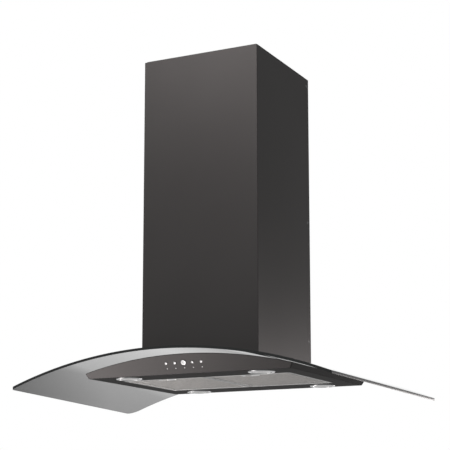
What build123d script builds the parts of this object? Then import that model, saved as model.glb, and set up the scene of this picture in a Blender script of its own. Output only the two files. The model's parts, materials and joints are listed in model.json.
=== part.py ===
from build123d import *
import os
from math import acos, cos, degrees, radians, sin, sqrt

# An island range hood: a ceiling plate with a telescopic frame and chimney covers, and
# below them a blower, an arched glass canopy and a shallow steel body with filters.
# Frame: the origin is the middle of the ceiling plate's top face, X to the right,
# Y to the back, Z up. Hanging pieces are drawn in "hood" heights, measured up from the
# underside of the steel body, and lowered by drop when they are written.

# Overall
drop = 816.0                 # ceiling to the underside of the steel body, drawn up
height_travel = 300.0        # how far the hood can be let down on its frame
bolt_gap = 0.4               # what a fixed bolt leaves free in its hole
run_gap = 0.3                # between pieces that slide past each other
guide_gap = 0.06             # round a stem or pin in its guide
spare = 20.0                 # how far a cutting shape reaches past what it cuts
weld_lap = 0.5               # how far welded parts of one piece run into each other

# Glass canopy
glass_rear_width = 903.0     # between the sides' ends, about 900 over rounded corners
glass_front_width = 834.0
glass_front_y = -339.0
glass_front_bow = 6.0
glass_rear_y = 291.0
glass_radius = 1181.0        # of the arch, on the underside
glass_thick = 6.0
glass_apex = 45.8            # underside of the glass at the crown
glass_rear_corner = 28.0
glass_front_corner = 6.0
bush_wall = 3.0
bush_flange = 3.0            # bush wider than the bolt's head
glass_seat = 23.5            # glass that lies under the chassis, inside its walls
cutout_corner = 18.0

# Steel body under the glass
body_width = 544.0
body_depth = 448.0
body_slope = 0.5             # how far a side leans out for each unit of height
body_sheet = 1.0
body_corner = 3.0
gasket_thick = 1.5
gasket_width = 12.0
gasket_inset = 2.0
deck_margin = 2.0            # deck inside the edge of the glass cut-out
panel_sheet = 1.2
panel_flange = 8.0
notch_gap = 1.5              # round a filter's hook
weld_nut_lap = 3.0           # weld nut drawn up into the deck, which trims it
side_rail = 43.0             # underside beside the filter opening
end_rail = 90.0              # underside before and behind it

# Chimney covers, from the outside in
cover_width = 318.0
cover_sheet = 1.0
cover_top_gap = 3.0          # outer cover to ceiling
cover_return = 20.0          # side strip of the rear piece
cover_corner = 1.6
seam_tab = 12.0
telescope_gap = 3.0          # outer cover to inner cover, with room for tab and screws
cover_overlap = 117.0        # inner cover left in the outer one when let down
cover_seat_gap = 0.3
cover_screw_r = 1.6
cover_screw_head = 3.0
screw_tip = 0.8              # how far a cover screw stands out behind its tab
screw_gap = 0.1              # round a cover screw
seam_screw_low = 70.0        # lowest seam screw above the cover's lower end
seam_screw_high = 12.0       # highest seam screw below the tab's upper end
tab_lap = 6.0                # tab fixed to the front piece, before the seam
tab_clear = 8.0              # tab of the outer cover below its upper end
rim_clear = 3.0              # tab of the inner cover below the ceiling plate's rim

# Telescopic frame
frame_gap = 6.0              # inner cover to upper angle
angle_leg = 26.0
angle_sheet = 2.0
slide_gap = 0.5              # upper angle to lower angle
angle_end = 20.0             # upper angle below its slot
lower_angle_top = 60.0       # below the ceiling, drawn up
bolt_r = 3.0
bolt_length = 16.0
bolt_head_r = 5.6
bolt_head = 4.0
bolt_end = 2.0               # bolt past its nut
nut_high = 5.0
frame_bolt_pitch = 40.0
frame_bolt_margin = 15.0
frame_bolt_inset = 40.0      # chassis bolts from its top and bottom
slot_margin = 2.0            # slot past the bolts at both ends of the travel
angle_foot_gap = 1.0         # lower angle above the chassis's lower edge

# Ceiling plate
plate_sheet = 2.5
plate_rim = 20.0
rim_sheet = 2.0
duct_hole_r = 80.0
ceiling_hole_x = 160.0
ceiling_hole_y = 250.0
ceiling_hole_r = 4.0
foot_sheet = 2.5
foot_lap = 8.0               # foot wider than the angle
foot_inset = 16.0            # stud from the angle's inner faces
stud_length = 14.0

# Blower
chassis_sheet = 1.0
chassis_seat_gap = 1.2       # chassis above the crown of the glass
chassis_height = 250.0
chassis_lip = 11.5           # lip inside the bolts' axes
chassis_bolt_inset = 12.0    # bolts outside the edge of the glass cut-out
wheel_r = 62.0
blade_depth = 12.0
wheel_half = 50.0
wheel_blades = 26
wheel_disc = 1.5
wheel_ring = 7.0             # end ring, along the radius
wheel_ring_thick = 2.0
hub_r = 11.0
hub_long = 7.0
shaft_end = 9.0              # shaft past the middle disc
blade_sweep = 14.0           # degrees between a blade's two ends
blade_hollow = 0.35          # how much a blade bellies out, as a share of half its sweep
blade_thick = 0.9
scroll_gap = 5.0             # wheel to the spiral wall where it starts
scroll_growth = 25.0         # how much wider the spiral ends
scroll_foot = 7.0            # under the scroll
scroll_wall = 2.0
scroll_side_gap = 5.0        # wheel to the scroll's side walls
scroll_neck = 28.0           # inner side of the outlet neck, from the wheel's axis
scroll_front_gap = 3.8       # spiral wall to the chassis's front wall
scroll_arcs = 5
inlet_lap = 3.0              # inlet wider than the wheel's inside
inlet_lip = 2.0              # rolled lip outside the inlet
motor_space = 14.0           # wheel's inside to the motor
motor_length = 70.0
motor_gap = 4.0              # motor to the wheel's middle disc
motor_edge = 4.0
motor_clear = 1.0            # bore past the shaft's end
bracket_hoop = 4.0           # hoop round the motor, along the radius
bracket_arm = 12.0
bracket_sheet = 3.0
bracket_stand = 8.0          # hoop and arms outside the scroll
bracket_foot = 5.0
bracket_lap = 10.0           # arms past the inlet's edge
capacitor_r = 17.0
capacitor_high = 56.0
capacitor_edge = 2.0
capacitor_place = -108.0
shaft_r = 4.0
collar_r = 75.0
collar_wall = 1.5
collar_high = 45.0
collar_flange = 13.0
collar_flange_sheet = 1.5
flap_pin_r = 2.0
flap_pin_high = 24.0
flap_sheet = 1.2
flap_gap = 1.2
knuckle_wall = 1.6
stop_ledge = 3.0
ledge_sheet = 1.2
pin_inset = 0.4              # damper pin's ends inside the collar's outside
flap_knuckles = 6
knuckle_gap = 1.0            # ledge cut back round the knuckles
knuckle_inset = 4.0          # knuckles from the flap's ends
box_long = 68.0
box_wide = 48.0
box_high = 30.0
box_wall = 2.0
box_margin = 8.0             # junction box from the chassis walls
lid_lap = 1.0
lid_thick = 2.0
lid_corner = 3.0
gland_r = 8.0
gland_bore_r = 4.0
gland_long = 10.0            # gland outside the box
gland_nut = 6.0
gland_nut_lap = 3.0

# Lamps
lamp_inset_x = 93.0          # from the body's sides
lamp_inset_y = 40.0
lamp_lip = 4.0               # ring wider than the cup
lamp_ring_high = 2.5
lamp_cup_r = 28.0
lamp_cup_high = 17.0
lamp_wall = 1.5
lens_inset = 3.5             # lens smaller than the cup
lens_thick = 3.0
lens_proud = 1.0             # lens below the underside
lens_edge = 0.5
cup_edge = 5.0
ring_edge = 1.75

# Buttons and indicators, on the slanted front face
button_pitch = 23.5
button_height = 25.0
button_r = 4.0
power_r = 7.2
button_proud = 1.2
button_travel = 1.5
button_flange = 1.2
stem_r = 2.0
indicator_drop = 13.4        # along the face
indicator_r = 1.25
indicator_gap = 0.15
indicator_proud = 0.3
button_edge = 0.6
flange_lap = 1.2             # flange wider than the button
carrier_thick = 3.0
carrier_end = 14.0           # past the outer buttons
carrier_above = 10.5         # above the row of buttons
carrier_below = 3.0          # below the row of indicators
post_r = 3.0
post_inset = 4.0             # posts from the carrier's ends
board_post_r = 2.5
board_thick = 1.6
board_inset = 3.0
board_above = 9.5
stem_past = 1.6              # stem behind the carrier
switch_half = 3.0
switch_high = 1.1

# Filters
filter_gap = 1.6             # filter to the edge of its opening
filter_between = 2.0
filter_lift = 0.3            # filter face above the underside
filter_high = 9.0
filter_rim = 10.0
filter_sheet = 1.0
hook_pin_r = 1.5
hook_pin_length = 26.0
hook_neck = 12.0
hook_offset = 70.0
hook_reach = 3.0             # hook pin behind the edge of the opening
latch_width = 30.0
latch_thick = 2.0
latch_length = 30.0
latch_reach = 5.0            # tongue past the edge of the opening
latch_travel = 6.5
latch_height = 1.8
latch_block = 44.0
latch_tab_back = 12.0        # finger tab from the latch's back end
latch_tab_half = 7.0
latch_tab_deep = 6.0
latch_tab_down = 2.0         # finger tab below the underside
latch_tab_gap = 0.4
channel_end = 0.5            # channel behind the latch when it is drawn back
channel_wall = 2.0
hook_sheet = 1.5

# Worked out from the sizes above
lower_out = cover_width / 2
lower_in = lower_out - cover_sheet
upper_out = lower_in - telescope_gap
upper_in = upper_out - cover_sheet
upper_angle_out = upper_in - frame_gap
upper_angle_in = upper_angle_out - angle_sheet
lower_angle_out = upper_angle_in - slide_gap
lower_angle_in = lower_angle_out - angle_sheet
chassis_out = lower_angle_in
chassis_bottom = glass_apex + glass_thick + chassis_seat_gap
chassis_top = chassis_bottom + chassis_height
glass_cutout = 2 * (chassis_out - glass_seat)
deck_opening = glass_cutout - 2 * deck_margin
chassis_bolt_side = glass_cutout / 2 + chassis_bolt_inset
bolt_side = lower_angle_out - angle_leg / 2
stud_side = upper_angle_in - foot_inset
arch_axis = glass_apex - glass_radius
arch_span = glass_rear_y - glass_front_y + 200
sheet_run = sqrt(1 + body_slope ** 2)
filter_open_width = body_width - 2 * side_rail
filter_open_depth = body_depth - 2 * end_rail
lamp_ring_r = lamp_cup_r + lamp_lip
lens_r = lamp_cup_r - lens_inset
lamp_x = body_width / 2 - lamp_inset_x
lamp_y = body_depth / 2 - lamp_inset_y
upper_cover_length = cover_top_gap + height_travel + cover_overlap
wheel_inner_r = wheel_r - blade_depth
scroll_start_r = wheel_r + scroll_gap
scroll_end_r = scroll_start_r + scroll_growth
scroll_half = wheel_half + scroll_side_gap + scroll_wall
scroll_start = degrees(acos(scroll_neck / scroll_start_r))
scroll_front_r = scroll_start_r + scroll_growth * (180 - scroll_start) / (360 - scroll_start)
wheel_y = scroll_front_r + scroll_wall + scroll_front_gap - (chassis_out - chassis_sheet)
wheel_z = chassis_bottom + scroll_foot + scroll_wall + scroll_end_r
inlet_r = wheel_inner_r + inlet_lap
motor_r = wheel_inner_r - motor_space

os.makedirs("parts", exist_ok=True)


def save(name, *pieces):
    """Write one node, given in the ceiling plate's own heights."""
    solids = [solid for piece in pieces for solid in piece.solids()]
    export_step(Compound(solids), f"parts/{name}.step")


def save_hood(name, *pieces):
    """Write one node that is drawn in hood heights."""
    save(name, *[Pos(0, 0, -drop) * piece for piece in pieces])


def slab(x0, x1, y0, y1, z0, z1):
    """A block between two corners."""
    middle = Pos((x0 + x1) / 2, (y0 + y1) / 2, (z0 + z1) / 2)
    return middle * Box(abs(x1 - x0), abs(y1 - y0), abs(z1 - z0))


def rod(radius, x, y, z0, z1):
    """An upright cylinder."""
    return Pos(x, y, (z0 + z1) / 2) * Cylinder(radius, z1 - z0)


def rod_x(radius, x0, x1, y, z):
    """A cylinder along X."""
    return Pos((x0 + x1) / 2, y, z) * Rot(0, 90, 0) * Cylinder(radius, x1 - x0)


def hexagon(radius, high):
    """A hexagon prism on the XY plane, across its corners 2 x radius."""
    return extrude(RegularPolygon(radius, 6), high)


def square_tube(half, corner, sheet, z0, z1):
    """A square tube with rounded corners."""
    outer = RectangleRounded(2 * half, 2 * half, corner)
    inner = RectangleRounded(2 * (half - sheet), 2 * (half - sheet), max(corner - sheet, 0.2))
    return Pos(0, 0, z0) * extrude(outer - inner, z1 - z0)


def under_arch(rise):
    """All that lies below a surface parallel to the glass underside and rise above it."""
    return Pos(0, 0, arch_axis) * Rot(90, 0, 0) * Cylinder(glass_radius + rise, arch_span)


def arch_height(x, rise=0.0):
    """Height of that surface above a place x from the middle."""
    return arch_axis + sqrt((glass_radius + rise) ** 2 - x ** 2)


def corners(half_x, half_y):
    """The four places at plus and minus the given distances."""
    return [(sx * half_x, sy * half_y) for sy in (-1, 1) for sx in (-1, 1)]


# Glass canopy: one arched sheet, cut out in the middle for the blower


def glass_outline():
    """The sheet's outline seen from above."""
    front = glass_front_width / 2
    rear = glass_rear_width / 2
    edge = ThreePointArc(
        (-front, glass_front_y), (0, glass_front_y - glass_front_bow), (front, glass_front_y)
    )
    sides = Polyline(
        (front, glass_front_y), (rear, glass_rear_y), (-rear, glass_rear_y), (-front, glass_front_y)
    )
    face = make_face(Curve() + [edge, sides])
    face = fillet(face.vertices().group_by(Axis.Y)[-1], glass_rear_corner)
    return fillet(face.vertices().group_by(Axis.Y)[0], glass_front_corner)


low = arch_height(glass_rear_width / 2) - spare
over = glass_apex + glass_thick + spare
cutout = RectangleRounded(glass_cutout, glass_cutout, cutout_corner)
sheet_block = Pos(0, 0, low) * extrude(glass_outline() - cutout, over - low)
glass = sheet_block & (under_arch(glass_thick) - under_arch(0))
bush_neck_r = bolt_r + bush_wall
for x, y in corners(chassis_bolt_side, chassis_bolt_side):
    glass -= rod(bush_neck_r + bolt_gap, x, y, 0, over)
save_hood("glass_canopy", glass)

# Rubber between glass and body: a strip round the body's top edge and one round the cut-out


def leaning_block(inset, z0, z1):
    """A block with the body's slanted walls, each moved in by inset."""
    sections = []
    for z in (z0, z1):
        grow = 2 * (body_slope * z - inset * sheet_run)
        outline = RectangleRounded(body_width + grow, body_depth + grow, body_corner)
        sections.append(Pos(0, 0, z) * outline)
    return loft(sections, ruled=True)


between = under_arch(0) - under_arch(-gasket_thick)
edge_strip = leaning_block(gasket_inset, 0, over)
edge_strip -= leaning_block(gasket_inset + gasket_width, -spare, over + spare)
strip_outside = glass_cutout + gasket_width
cutout_strip = extrude(RectangleRounded(strip_outside, strip_outside, cutout_corner) - cutout, over)
save_hood("glass_gasket", edge_strip & between, cutout_strip & between)

# Steel body: slanted walls and an arched deck, open below


def face_plane(x, z):
    """A plane on the front face: its Z points out of the face and its Y up the face."""
    return Plane(
        origin=(x, -body_depth / 2 - body_slope * z, z), x_dir=(1, 0, 0), z_dir=(0, -1, -body_slope)
    )


button_places = [(step - 2) * button_pitch for step in range(5)]
button_names = ["button_timer", "button_slower", "button_power", "button_faster", "button_light"]
button_sizes = [power_r if x == 0 else button_r for x in button_places]

deck = -gasket_thick
hole_deep = 6 * body_sheet
body = leaning_block(0, 0, over) & under_arch(deck)
body -= leaning_block(body_sheet, -spare, over) & under_arch(deck - body_sheet)
body -= extrude(RectangleRounded(deck_opening, deck_opening, cutout_corner), over)
for x, y in corners(chassis_bolt_side, chassis_bolt_side):
    deck_under = arch_height(abs(x) + bolt_head_r, deck - body_sheet)
    weld_nut = Pos(x, y, deck_under - nut_high) * hexagon(bolt_head_r, nut_high + weld_nut_lap)
    body += weld_nut & under_arch(deck - body_sheet)
    body -= rod(bolt_r + guide_gap, x, y, deck_under - nut_high, over)
for x, radius in zip(button_places, button_sizes):
    body -= face_plane(x, button_height) * Cylinder(radius + run_gap, hole_deep)
    low_hole = Pos(0, -indicator_drop, 0) * Cylinder(indicator_r + indicator_gap, hole_deep)
    body -= face_plane(x, button_height) * low_hole
save_hood("canopy_body", body)

# Underside panel, welded in with a flange that leans against the body's walls

panel = leaning_block(body_sheet, 0, panel_flange)
panel -= leaning_block(2 * body_sheet, panel_sheet, over)
panel -= slab(
    -filter_open_width / 2, filter_open_width / 2,
    -filter_open_depth / 2, filter_open_depth / 2, -spare, over,
)
for x, y in corners(lamp_x, lamp_y):
    panel -= rod(lamp_cup_r + run_gap, x, y, -spare, over)
filter_width = (filter_open_width - filter_between) / 2 - filter_gap
filter_depth = filter_open_depth - 2 * filter_gap
filter_centres = [side * (filter_between + filter_width) / 2 for side in (-1, 1)]
open_rear = filter_open_depth / 2
hook_y = open_rear + hook_reach
hook_z = panel_sheet + run_gap + hook_pin_r
for centre in filter_centres:
    for x in (centre - hook_offset, centre + hook_offset):
        notch_half = hook_neck / 2 + notch_gap
        panel -= slab(
            x - notch_half, x + notch_half,
            open_rear - spare, hook_y + hook_pin_r + notch_gap, -spare, over,
        )
save_hood("underside_panel", panel)

# Lamps: a turned ring and cup pushed up into the panel, and a lens in the ring

for number, (x, y) in enumerate(corners(lamp_x, lamp_y), start=1):
    cup = rod(lamp_cup_r, 0, 0, 0, lamp_cup_high)
    ring = rod(lamp_ring_r, 0, 0, -lamp_ring_high, 0)
    ring = fillet(ring.faces().sort_by(Axis.Z)[0].edges(), ring_edge)
    cup = chamfer(cup.faces().sort_by(Axis.Z)[-1].edges(), cup_edge)
    lamp = ring + cup
    lamp -= rod(lens_r + guide_gap, 0, 0, -lamp_ring_high, lens_thick - lens_proud)
    lamp -= rod(lens_r - lamp_wall, 0, 0, -lamp_ring_high, lamp_cup_high - lamp_wall)
    lens = rod(lens_r, 0, 0, -lens_proud, lens_thick - lens_proud)
    lens = chamfer(lens.faces().sort_by(Axis.Z)[0].edges(), lens_edge)
    save_hood(f"lamp_body_{number}", Pos(x, y, 0) * lamp)
    save_hood(f"lamp_lens_{number}", Pos(x, y, 0) * lens)

# Controls: buttons through the front face, guided in a carrier with a board behind it

carrier_front = -(body_sheet + run_gap + button_flange + button_travel + run_gap)
carrier_back = carrier_front - carrier_thick
stem_end = carrier_back - stem_past
board_front = stem_end - button_travel - run_gap - switch_high
carrier_half = 2 * button_pitch + carrier_end
board_half = carrier_half - board_inset
carrier_foot = -indicator_drop - carrier_below
carrier = slab(-carrier_half, carrier_half, carrier_foot, carrier_above, carrier_back, carrier_front)
board = slab(-board_half, board_half, carrier_foot, board_above, board_front - board_thick, board_front)
for side in (-1, 1):
    post_x = side * (carrier_half - post_inset)
    carrier += rod(post_r, post_x, 0, carrier_front - weld_lap, -body_sheet)
    carrier += rod(board_post_r, post_x, 0, board_front, carrier_back + weld_lap)
lights = []
for x, name, radius in zip(button_places, button_names, button_sizes):
    carrier -= rod(stem_r + guide_gap, x, 0, carrier_back - spare, carrier_front + spare)
    light_way = rod(indicator_r + guide_gap, x, -indicator_drop, carrier_back - spare, carrier_front + spare)
    carrier -= light_way
    board += slab(x - switch_half, x + switch_half, -switch_half, switch_half,
                  board_front - weld_lap, board_front + switch_high)
    flange_top = -body_sheet - run_gap
    cap = rod(radius, 0, 0, flange_top, button_proud)
    cap = chamfer(cap.faces().sort_by(Axis.Z)[-1].edges(), button_edge)
    button = cap + rod(radius + flange_lap, 0, 0, flange_top - button_flange, flange_top)
    button += rod(stem_r, 0, 0, stem_end, flange_top - button_flange)
    save_hood(name, face_plane(x, button_height) * button)
    light = rod(indicator_r, x, -indicator_drop, board_front, indicator_proud)
    lights.append(face_plane(0, button_height) * light)
save_hood("button_carrier", face_plane(0, button_height) * carrier)
save_hood("control_board", face_plane(0, button_height) * board)
save_hood("indicator_lights", *lights)

# Grease filters: a folded frame, a mesh pad and a sprung latch that slides in a block

latch_front = -filter_open_depth / 2 - latch_reach
latch_back = latch_front + latch_length
latch_top = latch_height + latch_thick
channel_back = latch_back + latch_travel + channel_end
tab_y = latch_back - latch_tab_back
half_w = filter_width / 2
half_d = filter_depth / 2
filter_top = filter_lift + filter_high


def ring_inside(inset):
    """A block through the filter, moved in by inset from its sides."""
    return slab(inset - half_w, half_w - inset, inset - half_d, half_d - inset, -spare, spare)


layer = slab(-half_w, half_w, -half_d, half_d, filter_lift + filter_sheet, filter_top - filter_sheet)
block = slab(-latch_block / 2, latch_block / 2, -half_d, channel_back + channel_wall, filter_lift, filter_top)
pad = (layer & ring_inside(filter_sheet + run_gap)) - block
rim = slab(-half_w, half_w, -half_d, half_d, filter_lift, filter_top)
rim = rim - ring_inside(filter_rim) - (layer & ring_inside(filter_sheet)) + block
rim -= slab(
    -latch_width / 2 - run_gap, latch_width / 2 + run_gap, -half_d - spare, channel_back,
    latch_height - run_gap, latch_top + run_gap,
)
tab_way = latch_tab_half + latch_tab_gap
tab_front = tab_y - latch_tab_deep / 2
tab_back = tab_y + latch_tab_deep / 2
rim -= slab(-tab_way, tab_way, tab_front - latch_tab_gap, tab_back + latch_tab_gap + latch_travel,
            -spare, latch_height)
for x in (-hook_offset, hook_offset):
    rim += slab(x - hook_neck / 2, x + hook_neck / 2, half_d - weld_lap, hook_y,
                hook_z - hook_sheet / 2, hook_z + hook_sheet / 2)
    rim += rod_x(hook_pin_r, x - hook_pin_length / 2, x + hook_pin_length / 2, hook_y, hook_z)
latch = slab(-latch_width / 2, latch_width / 2, latch_front, latch_back, latch_height, latch_top)
latch += slab(-latch_tab_half, latch_tab_half, tab_front, tab_back,
              -latch_tab_down, latch_height + weld_lap)
for side, centre in zip(("left", "right"), filter_centres):
    save_hood(f"filter_frame_{side}", Pos(centre, 0, 0) * rim)
    save_hood(f"filter_mesh_{side}", Pos(centre, 0, 0) * pad)
    save_hood(f"filter_latch_{side}", Pos(centre, 0, 0) * latch)

# Blower chassis: a sheet box that stands on the glass, open below inside its lip

inside = chassis_out - chassis_sheet
chassis = slab(-chassis_out, chassis_out, -chassis_out, chassis_out, chassis_bottom, chassis_top)
chassis -= slab(-inside, inside, -inside, inside,
                chassis_bottom + chassis_sheet, chassis_top - chassis_sheet)
mouth = chassis_bolt_side - chassis_lip
chassis -= slab(-mouth, mouth, -mouth, mouth, chassis_bottom - spare, chassis_bottom + spare)
outlet_half = scroll_half - scroll_wall
neck_front = wheel_y + scroll_neck
neck_rear = wheel_y + scroll_end_r
chassis -= slab(-outlet_half, outlet_half, neck_front, neck_rear,
                chassis_top - spare, chassis_top + spare)
for x, y in corners(chassis_bolt_side, chassis_bolt_side):
    chassis -= rod(bolt_r + bolt_gap, x, y, chassis_bottom - spare, chassis_bottom + spare)
frame_bolt_low = [chassis_bottom + frame_bolt_inset, chassis_top - frame_bolt_inset]
for z in frame_bolt_low:
    for y in (-bolt_side, bolt_side):
        chassis -= rod_x(bolt_r + bolt_gap, -chassis_out - spare, chassis_out + spare, y, z)
chassis -= rod(bolt_r + bolt_gap, capacitor_place, capacitor_place, chassis_top - spare, chassis_top + spare)
save_hood("blower_chassis", chassis)

# Rubber bushes through the glass and the bolts that clamp chassis, glass and body

bushes = []
chassis_bolts = []
for x, y in corners(chassis_bolt_side, chassis_bolt_side):
    bush = rod(bolt_head_r + bush_flange, x, y, 0, chassis_bottom) - under_arch(glass_thick)
    neck = rod(bush_neck_r, x, y, 0, glass_apex + glass_thick) - under_arch(deck)
    bushes.append(bush + neck - rod(bolt_r + guide_gap, x, y, 0, over))
    head_at = chassis_bottom + chassis_sheet
    tip = arch_height(abs(x) + bolt_head_r, deck - body_sheet) - nut_high - bolt_end
    bolt = Pos(x, y, head_at) * hexagon(bolt_head_r, bolt_head)
    chassis_bolts.append(bolt + rod(bolt_r, x, y, tip, head_at))
save_hood("glass_bushes", *bushes)
save_hood("chassis_bolts", *chassis_bolts)

# Blower scroll: two halves that meet in the middle, with a round inlet in each side


def scroll_point(angle, start, grow):
    """A point on the spiral wall, in the wheel's plane."""
    share = (angle - start) / (360 - start)
    radius = scroll_start_r + scroll_growth * share + grow
    return (wheel_y + radius * cos(radians(angle)), wheel_z + radius * sin(radians(angle)))


def scroll_outline(grow, top):
    """The outline of the scroll and its neck, moved out by grow."""
    start = degrees(acos((scroll_neck - grow) / (scroll_start_r + grow)))
    step = (360 - start) / scroll_arcs
    arcs = []
    for number in range(scroll_arcs):
        first = start + number * step
        points = [scroll_point(first + step * part, start, grow) for part in (0, 0.5, 1)]
        arcs.append(ThreePointArc(*points))
    rear = wheel_y + scroll_end_r + grow
    front = wheel_y + scroll_neck - grow
    neck = Polyline((rear, wheel_z), (rear, top), (front, top), scroll_point(start, start, grow))
    return Plane.YZ * make_face(Curve() + arcs + [neck])


scroll_top = chassis_top - chassis_sheet
shell = extrude(scroll_outline(scroll_wall, scroll_top), scroll_half)
shell -= extrude(scroll_outline(0, scroll_top + spare), scroll_half - scroll_wall)
lip = rod_x(inlet_r + scroll_wall, scroll_half - scroll_wall, scroll_half + inlet_lip, wheel_y, wheel_z)
shell += lip
shell -= rod_x(inlet_r, 0, scroll_half + spare, wheel_y, wheel_z)
save_hood("scroll_right", shell)
save_hood("scroll_left", mirror(shell, Plane.YZ))

# Double-inlet wheel: swept blades on a middle disc, with end rings, hub and shaft


def wheel_blade():
    """One blade, a curved strip between the inner and outer radius."""
    half = blade_sweep / 2
    turn = degrees(blade_thick / wheel_r)
    middle_r = (wheel_r + wheel_inner_r) / 2

    def at(radius, angle):
        return (radius * cos(radians(angle)), radius * sin(radians(angle)))

    belly = -half * blade_hollow
    front = ThreePointArc(at(wheel_inner_r, -half), at(middle_r, belly), at(wheel_r, half))
    back = ThreePointArc(at(wheel_inner_r, turn - half), at(middle_r, turn + belly), at(wheel_r, turn + half))
    ends = [Line(front @ 0, back @ 0), Line(front @ 1, back @ 1)]
    outline = make_face(Curve() + [front, back] + ends)
    return Pos(0, 0, -wheel_half) * extrude(outline, 2 * wheel_half)


blade = wheel_blade()
blades = [Rot(0, 0, 360 * step / wheel_blades) * blade for step in range(wheel_blades)]
ring = Cylinder(wheel_r, wheel_ring_thick) - Cylinder(wheel_r - wheel_ring, wheel_ring_thick)
wheel = Cylinder(wheel_r - weld_lap, wheel_disc) + Cylinder(hub_r, hub_long)
wheel += rod(shaft_r, 0, 0, -motor_length, shaft_end)
wheel += [Pos(0, 0, side * (wheel_half - wheel_ring_thick / 2)) * ring for side in (-1, 1)]
wheel += blades
save_hood("blower_wheel", Pos(0, wheel_y, wheel_z) * Rot(0, 90, 0) * wheel)

# Motor, in the left inlet, and the three-armed bracket that carries it on the scroll

motor_end = -motor_gap - motor_length
motor = rod(motor_r, 0, 0, motor_end, -motor_gap)
motor = fillet(motor.edges().filter_by(GeomType.CIRCLE), motor_edge)
motor -= rod(shaft_r + guide_gap, 0, 0, -motor_length - motor_clear, 0)
bracket_out = -scroll_half - bracket_stand
arm_end = inlet_r + bracket_lap
arm_half = bracket_arm / 2
bracket = rod(motor_r + bracket_hoop, 0, 0, bracket_out, bracket_out + bracket_foot)
for step in range(3):
    arm = slab(motor_r, arm_end, -arm_half, arm_half, bracket_out, bracket_out + bracket_sheet)
    arm += slab(arm_end - bracket_foot, arm_end, -arm_half, arm_half, bracket_out, -scroll_half)
    bracket += Rot(0, 0, 120 * step + 30) * arm
bracket -= rod(motor_r, 0, 0, bracket_out - spare, bracket_out + spare)
save_hood("motor", Pos(0, wheel_y, wheel_z) * Rot(0, 90, 0) * motor)
save_hood("motor_bracket", Pos(0, wheel_y, wheel_z) * Rot(0, 90, 0) * bracket)

# Outlet collar with a stop ledge, the damper pin and two half-round flaps

collar_inner = collar_r - collar_wall
pin_z = chassis_top + flap_pin_high
collar = rod(collar_r + collar_flange, 0, 0, chassis_top, chassis_top + collar_flange_sheet)
collar += rod(collar_r, 0, 0, chassis_top, chassis_top + collar_high)
collar -= rod(collar_inner, 0, 0, chassis_top - spare, chassis_top + collar_high + spare)
ledge_top = pin_z - flap_sheet / 2 - run_gap
ledge = rod(collar_r - weld_lap, 0, 0, ledge_top - ledge_sheet, ledge_top)
ledge -= rod(collar_inner - stop_ledge, 0, 0, ledge_top - spare, ledge_top + spare)
knuckle_r = flap_pin_r + guide_gap + knuckle_wall
knuckle_way = knuckle_r + knuckle_gap
ledge -= slab(-collar_r, collar_r, -knuckle_way, knuckle_way, ledge_top - spare, ledge_top + spare)
collar += ledge
pin_half = collar_r - pin_inset
collar -= rod_x(flap_pin_r, -pin_half, pin_half, 0, pin_z)
save_hood("outlet_collar", collar)
save_hood("damper_pin", rod_x(flap_pin_r, -pin_half, pin_half, 0, pin_z))

flap_r = collar_inner - flap_gap
knuckle_span = 2 * (flap_r - knuckle_inset)
knuckle_long = knuckle_span / flap_knuckles
flap_low = pin_z - flap_sheet / 2
flap_high = pin_z + flap_sheet / 2
for name, side in (("damper_front", -1), ("damper_rear", 1)):
    keep = slab(-flap_r, flap_r, side * (knuckle_r + run_gap), side * 2 * flap_r, flap_low, flap_high)
    flap = rod(flap_r, 0, 0, flap_low, flap_high) & keep
    for step in range((side + 1) // 2, flap_knuckles, 2):
        x0 = -knuckle_span / 2 + step * knuckle_long + run_gap / 2
        x1 = x0 + knuckle_long - run_gap
        flap += rod_x(knuckle_r, x0, x1, 0, pin_z)
        flap += slab(x0, x1, 0, side * (knuckle_r + knuckle_gap), flap_low, flap_high)
    flap -= rod_x(flap_pin_r + guide_gap, -collar_r, collar_r, 0, pin_z)
    save_hood(name, flap)

# Junction box on the chassis, its lid and the cable gland

box_x1 = box_y1 = inside - box_margin
box_x0 = box_x1 - box_long
box_y0 = box_y1 - box_wide
box = slab(box_x0, box_x1, box_y0, box_y1, chassis_top, chassis_top + box_high)
box_top = chassis_top + box_high
box -= slab(box_x0 + box_wall, box_x1 - box_wall, box_y0 + box_wall, box_y1 - box_wall,
            chassis_top + box_wall, box_top + spare)
gland_z = chassis_top + box_high / 2
gland_y = (box_y0 + box_y1) / 2
box -= rod_x(gland_r, box_x0 - spare, box_x0 + box_wall + spare, gland_y, gland_z)
lid = slab(box_x0 - lid_lap, box_x1 + lid_lap, box_y0 - lid_lap, box_y1 + lid_lap,
           box_top, box_top + lid_thick)
lid = fillet(lid.edges().filter_by(Axis.Z), lid_corner)
gland = rod_x(gland_r, box_x0 - gland_long, box_x0 + 2 * box_wall, gland_y, gland_z)
nut_place = Pos(box_x0 - gland_nut, gland_y, gland_z) * Rot(0, 90, 0)
gland += nut_place * hexagon(gland_r + gland_nut_lap, gland_nut)
gland -= rod_x(gland_bore_r, box_x0 - spare, box_x0 + spare, gland_y, gland_z)
save_hood("junction_box", box)
save_hood("junction_lid", lid)
save_hood("cable_gland", gland)

# Motor capacitor: a can that stands on the chassis, with its stud and nut through the sheet

can = rod(capacitor_r, 0, 0, 0, capacitor_high)
can = fillet(can.edges().filter_by(GeomType.CIRCLE), capacitor_edge)
can += rod(bolt_r, 0, 0, -chassis_sheet - nut_high - bolt_end, capacitor_edge)
can_nut = Pos(0, 0, -chassis_sheet - nut_high) * hexagon(bolt_head_r, nut_high)
can_nut -= rod(bolt_r + guide_gap, 0, 0, -spare, 0)
can_place = Pos(capacitor_place, capacitor_place, chassis_top)
save_hood("motor_capacitor", can_place * can, can_place * can_nut)

# Telescopic frame: each lower angle runs inside an upper one; bolts ride in its long slot


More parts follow.
